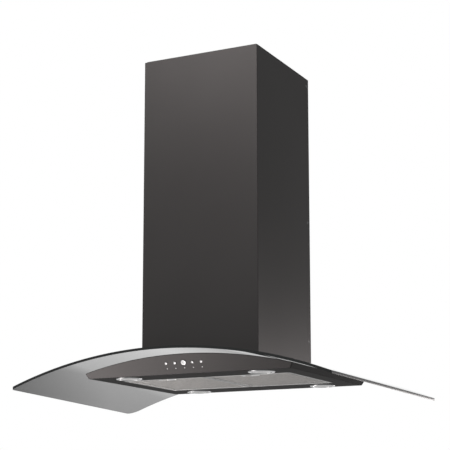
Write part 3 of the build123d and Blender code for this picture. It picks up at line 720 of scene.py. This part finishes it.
def outline_tool():
    """A tall prism with the outline of the glass, seen from above."""
    fresh()
    bpy.ops.mesh.primitive_plane_add(size=1, location=(0, 0, glass_crown - 0.7 * tool_height))
    tool = settle(bpy.context.object)
    for vert in tool.data.vertices:
        front = vert.co.y < 0
        vert.co.x = (glass_front_half if front else glass_rear_half) * (1 if vert.co.x > 0 else -1)
        vert.co.y = glass_front if front else glass_rear
    lean = atan2(glass_rear_half - glass_front_half, glass_rear - glass_front)
    corners = ((glass_rear, rear_corner, -lean), (glass_front, front_corner, lean))
    for edge_y, radius, turn in corners:
        pick(tool, "verts", lambda vert: near([vert.co.y], edge_y))
        offset = radius / tan((radians(90) + turn) / 2)
        bpy.ops.mesh.bevel(offset=offset, segments=14, affect="VERTICES")
        done()
    pick(tool, "edges", lambda edge: near([vert.co.y for vert in edge.verts], glass_front))
    bpy.ops.mesh.subdivide(number_cuts=63)
    mesh = bmesh.from_edit_mesh(tool.data)
    for vert in mesh.verts:
        if vert.co.y < 0:
            vert.co.y -= glass_bow * (1 - (vert.co.x / glass_front_half) ** 2)
    bmesh.update_edit_mesh(tool.data)
    bpy.ops.mesh.select_all(action="SELECT")
    bpy.ops.mesh.extrude_region_move(TRANSFORM_OT_translate={"value": (0, 0, tool_height)})
    bpy.ops.mesh.select_all(action="SELECT")
    bpy.ops.mesh.normals_make_consistent(inside=False)
    done()
    return tool


def bent_sheet():
    """The sheet before it is cut: its section spun about the axis of the arch."""
    reach = radians(24.5)
    fresh()
    bpy.ops.mesh.primitive_plane_add(
        size=1, location=(0, -0.02, glass_crown + glass_thick / 2), rotation=(0, radians(90), 0)
    )
    sheet = bpy.context.object
    sheet.scale = (glass_thick, 0.72, 1)
    settle(sheet)
    pick_all(sheet)
    bpy.ops.transform.rotate(value=reach, orient_axis="Y", center_override=(0, 0, arch_axis))
    first = bmesh.from_edit_mesh(sheet.data).verts[:][0].co.x
    sweep = (2 if first > 0 else -2) * reach
    bpy.ops.mesh.spin(steps=196, angle=sweep, center=(0, 0, arch_axis), axis=(0, 1, 0))
    bpy.ops.mesh.select_all(action="SELECT")
    bpy.ops.mesh.normals_make_consistent(inside=False)
    done()
    return sheet


def opening_tool(side, segments):
    """A post with rounded corners, for the square opening that the blower hangs in."""
    post = block((-side / 2, -side / 2, glass_crown - 0.1), (side / 2, side / 2, glass_crown + 0.1))
    round_off(post, "edges", upright, cutout_corner, segments)
    return post


def in_corners(x, y):
    """The four places at plus and minus the given distances."""
    return [(side_x * x, side_y * y) for side_y in (-1, 1) for side_x in (-1, 1)]


# Grey glass: a deep see-through tint, and the faint unevenness of a bent float sheet.
smoked = finish("smoked_glass", Base_Color=(0.03, 0.03, 0.03, 1), IOR=1.56,
                Transmission_Weight=1.0, Coat_Weight=0.5, Coat_Roughness=0.01)
vary(smoked, lay(smoked, smudge, Scale=9), 0.008, 0.03)

# The edge, where one looks along the glass: nearly black, and finely ground.
ground_edge = surface(
    "glass_edge", (grain, 900, (0.012, 0.013, 0.013), (0.019, 0.0205, 0.0205)),
    (grain, 900, 0.2, 0.34), Specular_IOR_Level=0.12,
)
glass = bent_sheet()
cut(glass, outline_tool(), "INTERSECT")
cut(glass, opening_tool(glass_cutout, 12))
for x, y in in_corners(bolt_place, bolt_place):
    cut(glass, rod(bush_hole, (x, y, glass_crown), 0.1))
break_edges(glass, arris, segments=2, angle=50)
glass.data.materials.append(smoked)
glass.data.materials.append(ground_edge)
for face in glass.data.polygons:
    radial = Vector((face.center.x, 0, face.center.z - arch_axis)).normalized()
    face.material_index = 0 if abs(face.normal.dot(radial)) > 0.97 else 1
fit(glass, "canopy_sheet", "hood", "smoked_glass", "glass_canopy", angle=20, level=False)

# Rubber under the glass. A black strip lies between the glass and the body's top edge, and
# a flanged bush lines each bolt hole, so that steel nowhere touches the glass.

black_rubber = surface(
    "black_rubber", (smudge, 60, (0.014, 0.014, 0.014), (0.03, 0.03, 0.031)),
    (grain, 900, 0.6, 0.8), (grain, 900, 0.05 * mm, 0.6), Specular_IOR_Level=0.3,
)
coat(black_rubber, "glass_gasket", "glass_bushes")

# Steel body. A shallow pan of black painted sheet with slanted walls, closed on top by a
# deck that follows the arch of the glass. Weld nuts under the deck take the blower's bolts.

body_foot = -816 * mm
body_width = 544 * mm
body_depth = 448 * mm
body_slope = 0.5
body_sheet = 1.0 * mm
body_corner = 3.0 * mm
blank_height = 60 * mm
gasket_thick = 1.5 * mm
deck_opening = 236 * mm
bolt_shows = 2 * mm
button_places = [(step - 2) * 23.5 * mm for step in range(5)]
button_height = 25 * mm
button_radius = 4.0 * mm
power_radius = 7.2 * mm
button_play = 0.3 * mm
indicator_drop = 13.4 * mm
indicator_hole = 1.4 * mm
face_out = Vector((0, -1, -body_slope)).normalized()
face_up = Vector((0, -body_slope, 1)).normalized()


def leaning_block(inset, rise):
    """A block with the body's slanted walls, moved in by inset, that stands on its underside."""
    half_x = body_width / 2 - inset
    half_y = body_depth / 2 - inset
    piece = block((-half_x, -half_y, body_foot), (half_x, half_y, body_foot + rise))
    pick(piece, "faces", lambda face: face.normal.z > 0.5)
    spread = (1 + body_slope * rise / half_x, 1 + body_slope * rise / half_y, 1)
    bpy.ops.transform.resize(value=spread, center_override=(0, 0, 0))
    done()
    round_off(piece, "edges", upright, body_corner, 4)
    return piece


def folded(piece, open_side, sheet):
    """Takes away the side that faces up (1) or down (-1) and gives the rest a thickness."""
    pick(piece, "faces", lambda face: face.normal.z * open_side > 0.9)
    bpy.ops.mesh.delete(type="ONLY_FACE")
    done()
    shape(piece, "SOLIDIFY", thickness=sheet, offset=-1, use_even_offset=True)


def face_place(x, down=0.0):
    """A place on the slanted front face, in the row of buttons or so far down from it."""
    row = Vector((x, -body_depth / 2 - body_slope * button_height, body_foot + button_height))
    return row - down * face_up


pan = leaning_block(0, blank_height)
cut(pan, below_arch(-gasket_thick), "INTERSECT")
folded(pan, -1, body_sheet)
cut(pan, opening_tool(deck_opening, 8))
for x, y in in_corners(bolt_place, bolt_place):
    cut(pan, rod(bolt_radius * 1.02, (x, y, glass_crown), 0.1))
for x in button_places:
    button_hole = (power_radius if x == 0 else button_radius) + button_play
    for down, hole in ((0, button_hole), (indicator_drop, indicator_hole)):
        drill = rod(hole, (0, 0, 0), 12 * mm)
        drill.matrix_world = facing(face_place(x, down), face_out)
        cut(pan, settle(drill))
break_edges(pan, 0.3 * mm, angle=40)
weld_nut = nut_model()
nuts = []
for low, high in solids("chassis_bolts"):
    place = Vector((*((low + high) / 2).xy, low.z + bolt_shows))
    nuts.append(copy_to(weld_nut, Matrix.Translation(place)))
bpy.data.objects.remove(weld_nut)
pan = join([pan, *nuts])
pan.data.materials.append(satin_black)
fit(pan, "canopy_pan", "hood", "black_metal", "canopy_body")

# Underside panel. Black painted sheet let into the body, folded up round its edge and spot
# welded there, with the filter opening, slots for the filters' hooks and four lamp holes.

panel_sheet = 1.1 * mm
panel_inset = 1.12 * mm
panel_flange = 8 * mm
panel_bend = 1.4 * mm
filter_open_x = 229 * mm
filter_open_y = 134 * mm
filter_middle = 114.2 * mm
hook_offset = 70 * mm
hook_slot = 7.5 * mm
slot_reach = 6 * mm
lamp_x = 179 * mm
lamp_y = 184 * mm
lamp_hole = 28.3 * mm

panel = leaning_block(panel_inset, panel_flange)
round_off(panel, "edges", lambda edge: near([vert.co.z for vert in edge.verts], body_foot),
          panel_bend, 3)
folded(panel, 1, panel_sheet)
below, above = body_foot - 20 * mm, body_foot + 20 * mm
cut(panel, block((-filter_open_x, -filter_open_y, below), (filter_open_x, filter_open_y, above)))
hook_places = [side * filter_middle + step * hook_offset for side in (-1, 1) for step in (-1, 1)]
for x in hook_places:
    slot_low = (x - hook_slot, filter_open_y - 5 * mm, below)
    cut(panel, block(slot_low, (x + hook_slot, filter_open_y + slot_reach, above)))
for x, y in in_corners(lamp_x, lamp_y):
    cut(panel, rod(lamp_hole, (x, y, body_foot), 40 * mm, sides=96))
break_edges(panel, 0.2 * mm, angle=50)
# Painted shade: the underside panel gets a darker copy of the black paint, rougher too, which
# stands in for the shade beneath the hood.
dull_black = black_paint(
    "dull_black", (0.022, 0.0205, 0.020), (0.027, 0.025, 0.0245), 0.4, 0.42, 0.52
)
panel.data.materials.append(dull_black)
fit(panel, "underside_sheet", "hood", "black_metal", "underside_panel")

# Lamps. Four small round lamps pushed up into the panel: a chromed ring and cup, and in it
# a disc of pressed frosted glass with rings on its face, lit softly from behind.

lamp_ring = 32 * mm
lamp_ring_deep = 2.5 * mm
lamp_ring_round = 1.75 * mm
lamp_cup = 28 * mm
lamp_cup_high = 17 * mm
lamp_cup_round = 5 * mm
lamp_wall = 1.5 * mm
lens_radius = 24.5 * mm
lens_play = 0.06 * mm
lens_seat = 2 * mm
lens_foot = -1 * mm
lens_rings = 9


def lamp_model():
    """The turned ring and cup of a lamp, with the underside of the panel at zero."""
    lamp = rod(lamp_ring, (0, 0, -lamp_ring_deep / 2), lamp_ring_deep, sides=96)
    round_off(lamp, "faces", lambda face: face.normal.z < -0.9, lamp_ring_round, 5)
    cup = rod(lamp_cup, (0, 0, lamp_cup_high / 2), lamp_cup_high, sides=96)
    round_off(cup, "faces", lambda face: face.normal.z > 0.9, lamp_cup_round, 4)
    cut(lamp, cup, "UNION")
    for radius, top in ((lens_radius + lens_play, lens_seat),
                        (lens_radius - lamp_wall, lamp_cup_high - lamp_wall)):
        cut(lamp, rod(radius, (0, 0, top - 20 * mm), 40 * mm, sides=96))
    break_edges(lamp, 0.4 * mm, segments=2, angle=50)
    return lamp


def lens_model():
    """The glass of a lamp: a shallow dome with pressed rings."""
    lens = rod(lens_radius, (0, 0, (lens_seat + lens_foot) / 2), lens_seat - lens_foot, sides=96)
    pick(lens, "faces", lambda face: face.normal.z < -0.9)
    bpy.ops.mesh.inset(thickness=0.7 * mm, depth=0.4 * mm)
    for ring in range(lens_rings):
        bpy.ops.mesh.inset(thickness=1.2 * mm, depth=0.28 * mm)
        bpy.ops.mesh.inset(thickness=1.0 * mm, depth=-0.22 * mm)
    done()
    break_edges(lens, 0.15 * mm, segments=1, angle=50)
    return lens


# Bright chrome, with a few soft marks from handling.
chrome = surface(
    "chrome", (smudge, 30, (0.36, 0.36, 0.362), (0.43, 0.43, 0.433)),
    (smudge, 30, 0.22, 0.30), Metallic=1.0,
)

# Frosted glass, lit from behind.
frosted_glass = surface(
    "lamp_glass", (grain, 600, (0.30, 0.30, 0.295), (0.38, 0.38, 0.375)),
    (grain, 600, 0.25, 0.4), (grain, 600, 0.04 * mm, 0.5), IOR=1.5, Coat_Weight=0.3,
    Emission_Color=(1, 0.99, 0.97, 1), Emission_Strength=0.05,
)
lamp = lamp_model()
lens = lens_model()
for number, (x, y) in enumerate(in_corners(lamp_x, lamp_y), start=1):
    place = Matrix.Translation((x, y, body_foot))
    ring = copy_to(lamp, place)
    ring.data.materials.append(chrome)
    fit(ring, f"lamp_ring_{number}", "hood", "chrome", f"lamp_body_{number}")
    disc = copy_to(lens, place)
    disc.data.materials.append(frosted_glass)
    fit(disc, f"lamp_glass_{number}", "hood", "lamp_glass", f"lamp_lens_{number}", angle=20)
for model in (lamp, lens):
    bpy.data.objects.remove(model)

# Controls. Five moulded push buttons with a satin silver face stand in holes of the front
# wall. Each has a flange behind the wall and a stem through the carrier to its switch.

button_proud = 1.2 * mm
rim_round = 0.6 * mm
rim_flat = 0.5 * mm
dish_rings = 4
dish_step = 0.06 * mm
flange_top = -1.3 * mm
flange_sheet = 1.2 * mm
flange_lap = 1.2 * mm
stem_radius = 2.0 * mm
stem_end = -8.9 * mm
sign_radius = 2.5 * mm
sign_line = 0.8 * mm
sign_floor = 0.5 * mm


def power_groove(cap):
    """The open ring and bar of the common on/off sign, engraved in a button's face."""
    ring = rod(sign_radius + sign_line / 2, (0, 0, 0), 6 * mm, sides=48)
    cut(ring, rod(sign_radius - sign_line / 2, (0, 0, 0), 8 * mm, sides=48))
    gap = 1.6 * sign_line
    cut(ring, block((-gap, 0, -4 * mm), (gap, 2 * sign_radius, 4 * mm)))
    bar = block((-sign_line / 2, 0.3 * mm, -3 * mm), (sign_line / 2, sign_radius * 1.25, 3 * mm))
    sign = join([ring, bar])
    pick_all(sign)
    bpy.ops.transform.translate(value=(0, 0, 3 * mm + sign_floor))
    done()
    cut(cap, sign)


def button_model(radius):
    """A button with a rounded rim and a shallow dish, its wall's outer face at zero."""
    cap = rod(radius, (0, 0, (flange_top + button_proud) / 2), button_proud - flange_top, sides=64)
    round_off(cap, "faces", lambda face: face.normal.z > 0.9, rim_round, 4)
    pick(cap, "faces", lambda face: face.normal.z > 0.999)
    bpy.ops.mesh.inset(thickness=rim_flat, depth=0)
    for step in range(dish_rings):
        bpy.ops.mesh.inset(thickness=(radius - 1.4 * mm) / 5, depth=-dish_step)
    done()
    flange_middle = flange_top - flange_sheet / 2
    cut(cap, rod(radius + flange_lap, (0, 0, flange_middle), flange_sheet, sides=64), "UNION")
    stem_length = flange_top - stem_end
    cut(cap, rod(stem_radius, (0, 0, stem_end + stem_length / 2), stem_length, sides=32), "UNION")
    if radius == power_radius:
        power_groove(cap)
    cap.data.materials.append(moulded_black)
    cap.data.materials.append(silver)
    # The button is black moulded plastic with a silver middle; its black rim round the silver is
    # also painted shade, for the ring of shadow round each button.
    for face in cap.data.polygons:
        within = face.center.xy.length < radius - rim_round - rim_flat
        face.material_index = 1 if within and face.center.z > sign_floor + close else 0
    return cap


# Silver-painted plastic.
silver = surface(
    "satin_silver", (grain, 1500, (0.60, 0.60, 0.60), (0.72, 0.72, 0.72)),
    (grain, 1500, 0.28, 0.38), (grain, 1500, 0.02 * mm, 0.3), Metallic=0.25, IOR=1.48,
)

# Black injection-moulded plastic with a fine spark-eroded grain.
moulded_black = surface(
    "moulded_black", (smudge, 25, (0.018, 0.018, 0.019), (0.034, 0.034, 0.035)),
    (grain, 1300, 0.42, 0.6), (grain, 1300, 0.06 * mm, 0.6), Specular_IOR_Level=0.4,
)
for x, name in zip(button_places, ("timer", "slower", "power", "faster", "light")):
    button = button_model(power_radius if x == 0 else button_radius)
    button.matrix_world = facing(face_place(x), face_out)
    settle(button)
    fit(button, f"push_{name}", f"button_{name}", "button_white", f"button_{name}")

# Behind the buttons: small milky light pipes that end in the front wall, the moulded black
# carrier that guides the stems, and the green circuit board with its switches.

board_front = face_place(0).dot(face_out) - 12.0 * mm


def board_enamel():
    """Green solder mask over copper tracks; what stands above the board is black."""
    material = finish("circuit_board", IOR=1.5)
    tree = material.node_tree
    place = node(tree, "TexCoord", {}).outputs["Object"]
    tracks = node(tree, "TexBrick", {
        "Vector": place, "Scale": 260, "Mortar Size": 0.08, "Color1": (0.010, 0.085, 0.032, 1),
        "Color2": (0.012, 0.10, 0.038, 1), "Mortar": (0.03, 0.19, 0.06, 1),
    })
    along = node(tree, "VectorMath", {0: place, 1: face_out}, operation="DOT_PRODUCT")
    mix = node(tree, "Mix", {
        "Factor": compute(tree, "GREATER_THAN", along.outputs["Value"], board_front),
        "A": tracks.outputs["Color"], "B": (0.015, 0.015, 0.016, 1),
    }, data_type="RGBA")
    feed(material, mix.outputs["Result"], "Base Color")
    vary(material, lay(material, grain, Scale=900), 0.3, 0.45)
    return material


# Milky plastic rods, dull while their lamps are off.
light_pipe = surface(
    "light_pipe", (smudge, 900, (0.30, 0.30, 0.30), (0.46, 0.46, 0.46)),
    (grain, 2000, 0.15, 0.25), IOR=1.49, Coat_Weight=0.6,
)
coat(moulded_black, "button_carrier")
coat(light_pipe, "indicator_lights")
coat(board_enamel(), "control_board")

# Grease filters. A frame folded from aluminium channel with mitred corners holds layers of
# expanded aluminium mesh. Two hooks behind carry it, and a sprung latch in front shuts it.

filter_low = body_foot + 0.3 * mm
filter_high = 9 * mm
filter_x = 113.2 * mm
filter_y = 132.4 * mm
filter_rim = 10 * mm
filter_sheet = 1.0 * mm
filter_gap = 0.5 * mm
shaded_side_band = 20 * mm
mitre_line = 0.24 * mm
mitre_deep = 0.25 * mm
bead_inset = 7.6 * mm
bead_width = 1.8 * mm
bead_deep = 0.45 * mm
hook_pin = 1.5 * mm
hook_wide = 26 * mm
hook_reach = 137 * mm
hook_level = body_foot + 3.0 * mm
strap_half = 6 * mm
strap_sheet = 1.5 * mm
slide_half = 15 * mm
slide_low = body_foot + 1.8 * mm
slide_high = body_foot + 3.8 * mm
slide_play = 0.3 * mm
tab_half = 7 * mm
tab_front = -124 * mm
tab_rear = -118 * mm
tab_play = 0.4 * mm
latch_travel = 6.5 * mm
housing_half = 22 * mm
housing_rear = -100 * mm
pad_inset = 1.6 * mm
pad_levels = (2.1 * mm, 4.5 * mm, 7.2 * mm)
mesh_across = 9 * mm
mesh_along = 4.6 * mm
mesh_strand = 0.8 * mm
wave_high = 0.22 * mm
wave_across = 9 * mm
wave_along = 13 * mm


def anodised(name, stretch, dark, light):
    """Satin anodised aluminium with a fine drawn grain."""
    material = finish(name, Metallic=1.0)
    drawn = lay(material, grain, Scale=260, Stretch=stretch)
    tint(material, drawn, dark, light)
    vary(material, drawn, 0.30, 0.44)
    raise_up(material, drawn, 0.02 * mm, 0.4)
    return material


def filter_frame_model():
    """A filter's frame about its own middle."""
    rim = block((-filter_x, -filter_y, filter_low), (filter_x, filter_y, filter_low + filter_high))
    pick(rim, "faces", lambda face: abs(face.normal.z) > 0.5)
    bpy.ops.mesh.inset(thickness=filter_rim)
    bpy.ops.mesh.delete(type="FACE")
    done()
    shape(rim, "SOLIDIFY", thickness=filter_sheet, offset=-1, use_even_offset=True)
    saw_corner = Vector((9 * mm, mitre_line / 2, mitre_deep))
    for x, y in in_corners(1, 1):
        saw = block(-saw_corner, saw_corner)
        place = (x * (filter_x - filter_rim / 2), y * (filter_y - filter_rim / 2), filter_low)
        turn = Matrix.Rotation(radians(45 if x * y > 0 else -45), 4, "Z")
        saw.matrix_world = Matrix.Translation(place) @ turn
        cut(rim, settle(saw))
    break_edges(rim, 0.35 * mm, angle=50)
    outer_x, outer_y = filter_x - bead_inset, filter_y - bead_inset
    bead = block((-outer_x, -outer_y, filter_low - mm), (outer_x, outer_y, filter_low + bead_deep))
    inner = Vector((outer_x - bead_width, outer_y - bead_width, 0))
    reach = Vector((0, 0, 2 * mm))
    level = Vector((0, 0, filter_low))
    cut(bead, block(level - inner - reach, level + inner + reach))
    cut(rim, bead)
    return rim


def latch_housing_model():
    """The block in the frame's front end that the latch slides in."""
    low = (-housing_half, -filter_y, filter_low)
    piece = block(low, (housing_half, housing_rear, filter_low + filter_high))
    round_off(piece, "edges", lambda edge: upright(edge) and middle(edge).y > housing_rear - mm,
              3 * mm, 4)
    run = slide_half + slide_play
    channel_low = (-run, -150 * mm, slide_low - slide_play)
    cut(piece, block(channel_low, (run, housing_rear - 2 * mm, slide_high + slide_play)))
    run = tab_half + tab_play
    hole_low = (-run, tab_front - tab_play, body_foot - 5 * mm)
    cut(piece, block(hole_low, (run, tab_rear + latch_travel + tab_play, body_foot + 2 * mm)))
    break_edges(piece, 0.4 * mm, angle=50)
    return piece


def hook_model(x):
    """A flat strap out of the frame's rear side, curled round a pin."""
    strap_low = (x - strap_half, filter_y - 0.5 * mm, hook_level - strap_sheet / 2)
    strap = block(strap_low, (x + strap_half, hook_reach, hook_level + strap_sheet / 2))
    place = (x, hook_reach, hook_level)
    pin = rod(hook_pin, place, hook_wide, turn=(0, radians(90), 0), sides=24)
    cut(strap, pin, "UNION")
    break_edges(strap, 0.15 * mm, angle=50)
    return strap


def mesh_layer(level, aside, shift):
    """One layer of expanded mesh: diamonds of flat strands, slightly wavy."""
    fresh()
    wide = 2 * (filter_x - pad_inset) - mesh_across
    deep = 2 * (filter_y - pad_inset) - mesh_along
    bpy.ops.mesh.primitive_grid_add(
        x_subdivisions=int(wide / mesh_across), y_subdivisions=int(deep / mesh_along), size=1,
        location=(aside * mesh_across, 0, level),
    )
    layer = bpy.context.object
    layer.scale = (wide, deep, 1)
    settle(layer)
    pick_all(layer)
    bpy.ops.mesh.poke()
    mesh = bmesh.from_edit_mesh(layer.data)
    bpy.ops.mesh.select_mode(type="EDGE")
    bpy.ops.mesh.select_all(action="DESELECT")
    for edge in mesh.edges:
        first, second = edge.verts
        straight = abs(first.co.x - second.co.x) < close or abs(first.co.y - second.co.y) < close
        if straight and not edge.is_boundary:
            edge.select_set(True)
    bmesh.update_edit_mesh(layer.data)
    bpy.ops.mesh.dissolve_edges(use_verts=False)
    done()
    for vert in layer.data.vertices:
        across, along = vert.co.x / wave_across + shift, vert.co.y / wave_along - shift
        vert.co.z += wave_high * sin(across) * cos(along)
    shape(layer, "WIREFRAME", thickness=mesh_strand, use_even_offset=False)
    return layer


aluminium = anodised("anodised_aluminium", (1, 14, 14), (0.42, 0.418, 0.41), (0.54, 0.537, 0.53))
# Painted shade: the side rims get a darker copy of the same aluminium, because their grain, drawn
# along them, catches less of the light.
drawn_sides = anodised("drawn_sides", (14, 1, 14), (0.16, 0.158, 0.154), (0.21, 0.207, 0.202))

# Bare aluminium strands, cut and stretched, so each catches the light differently.
mesh_aluminium = surface(
    "expanded_aluminium", (smudge, 140, (0.27, 0.265, 0.257), (0.34, 0.334, 0.325)),
    (smudge, 140, 0.28, 0.5), Metallic=1.0,
)

# Painted shade: a dark finish on the floor of the pressed line and on the walls at the gap between
# the two filters, where shade falls.
greasy_groove = surface(
    "greasy_groove", (smudge, 90, (0.02, 0.019, 0.018), (0.045, 0.043, 0.041)),
    (grain, 700, 0.5, 0.7), Specular_IOR_Level=0.12,
)
hooks = [hook_model(-hook_offset), hook_model(hook_offset)]
frame_model = join([filter_frame_model(), latch_housing_model(), *hooks])
layers = []
for number, level in enumerate(pad_levels):
    layers.append(mesh_layer(body_foot + level, (number - 1) / 3, 1.3 * number))
pad_model = join(layers)
gap_half, gap_rear = housing_half + mm, housing_rear + mm
cut(pad_model, block((-gap_half, -0.2, body_foot - 20 * mm), (gap_half, gap_rear, above)))
for side, centre in (("left", -filter_middle), ("right", filter_middle)):
    place = Matrix.Translation((centre, 0, 0))
    rim = copy_to(frame_model, place)
    for metal in (aluminium, drawn_sides, greasy_groove):
        rim.data.materials.append(metal)
    for face in rim.data.polygons:
        from_side = filter_x - abs(face.center.x - centre)
        from_end = filter_y - abs(face.center.y)
        in_groove = bead_inset < min(from_side, from_end) < bead_inset + bead_width
        in_gap = from_side < filter_gap and (face.center.x - centre) * centre < 0
        # Painted shade: the floor of the pressed line and the walls at the gap take the dark shade
        # finish.
        if in_gap or (in_groove and close < face.center.z - filter_low < bead_deep + close):
            face.material_index = 2
        else:
            # Painted shade: a band along each side takes the darker copy of the aluminium.
            face.material_index = 1 if from_side < min(from_end, shaded_side_band) else 0
    fit(rim, f"filter_rim_{side}", f"filter_{side}", "aluminium", f"filter_frame_{side}")
    pad = copy_to(pad_model, place)
    pad.data.materials.append(mesh_aluminium)
    fit(pad, f"filter_pad_{side}", f"filter_{side}", "aluminium", f"filter_mesh_{side}", angle=50)
for model in (frame_model, pad_model):
    bpy.data.objects.remove(model)

# Filter latches. A bright pressed slide with a finger tab, pushed shut by a spring in the
# block behind it. Its tongue has a ramp, and the tab has three grooves for grip.

tongue_end = -139 * mm
tongue_ramp = 1.2 * mm
slide_rear = -109 * mm
tab_foot = body_foot - 2 * mm
grip_step = 1.8 * mm
grip_half = 0.35 * mm
grip_deep = 0.6 * mm


def latch_model():
    """A latch about its filter's middle."""
    low, high = (-slide_half, tongue_end, slide_low), (slide_half, slide_rear, slide_high)
    slide = block(low, high)
    round_off(slide, "edges", lambda edge: near([vert.co.y for vert in edge.verts], tongue_end)
              and near([vert.co.z for vert in edge.verts], slide_high), tongue_ramp, 1)
    tab = block((-tab_half, tab_front, tab_foot), (tab_half, tab_rear, slide_low + 0.5 * mm))
    for step in (-1, 0, 1):
        groove = (tab_front + tab_rear) / 2 + step * grip_step
        cut(tab, block((-9 * mm, groove - grip_half, tab_foot - mm),
                       (9 * mm, groove + grip_half, tab_foot + grip_deep)))
    cut(slide, tab, "UNION")
    break_edges(slide, 0.25 * mm, angle=40)
    return slide


# Satin nickel plate.
satin_nickel = surface(
    "satin_nickel", (smudge, 120, (0.30, 0.295, 0.285), (0.40, 0.395, 0.385)),
    (smudge, 120, 0.30, 0.42), Metallic=1.0,
)
latch = latch_model()
for side, centre in (("left", -filter_middle), ("right", filter_middle)):
    piece = copy_to(latch, Matrix.Translation((centre, 0, 0)))
    piece.data.materials.append(satin_nickel)
    fit(piece, f"latch_slide_{side}", f"latch_{side}", "chrome", f"filter_latch_{side}")
bpy.data.objects.remove(latch)

# Blower. A box of galvanised sheet holds a two-piece moulded scroll, a wheel with two
# inlets and the motor on its bracket. Four bolts clamp it through the glass to the body.

chassis_bolt_length = 25.8 * mm

# Grey stoving enamel over the rolled motor shell.
motor_enamel = surface(
    "motor_enamel", (smudge, 40, (0.16, 0.165, 0.17), (0.24, 0.245, 0.25)),
    (grain, 380, 0.34, 0.5), (grain, 380, 0.05 * mm, 0.5), Metallic=0.35,
)
coat(galvanised_steel, "blower_chassis", "motor_bracket", "outlet_collar")
coat(moulded_black, "scroll_left", "scroll_right", "blower_wheel")
coat(motor_enamel, "motor")
coat(aluminium, "motor_capacitor")
chassis_bolt = bolt_model(chassis_bolt_length)
hardware(chassis_bolt, "chassis_bolts", "chassis_bolt_set", "hood", "bolt_steel", zinc_plate,
         lambda low, high: (0, 0, 1),
         lambda low, high: Vector((*((low + high) / 2).xy, high.z - bolt_head)))
bpy.data.objects.remove(chassis_bolt)

# Outlet and wiring. Two moulded flaps swing on a plated pin in the collar. The junction box
# with its lid and cable gland stands beside them on the chassis.

coat(moulded_black, "damper_front", "damper_rear", "junction_box", "junction_lid", "cable_gland")
coat(zinc_plate, "damper_pin")

# Mirror images. The glass and the chrome mirror only the bright room and the chimney, as
# they do in the picture, so all other pieces are kept out of them.

mirrored = ("floor", "lower_chimney", "upper_chimney", "canopy_sheet")
for piece in bpy.data.objects:
    if piece.type == "MESH":
        piece.visible_glossy = piece.name.startswith(mirrored)
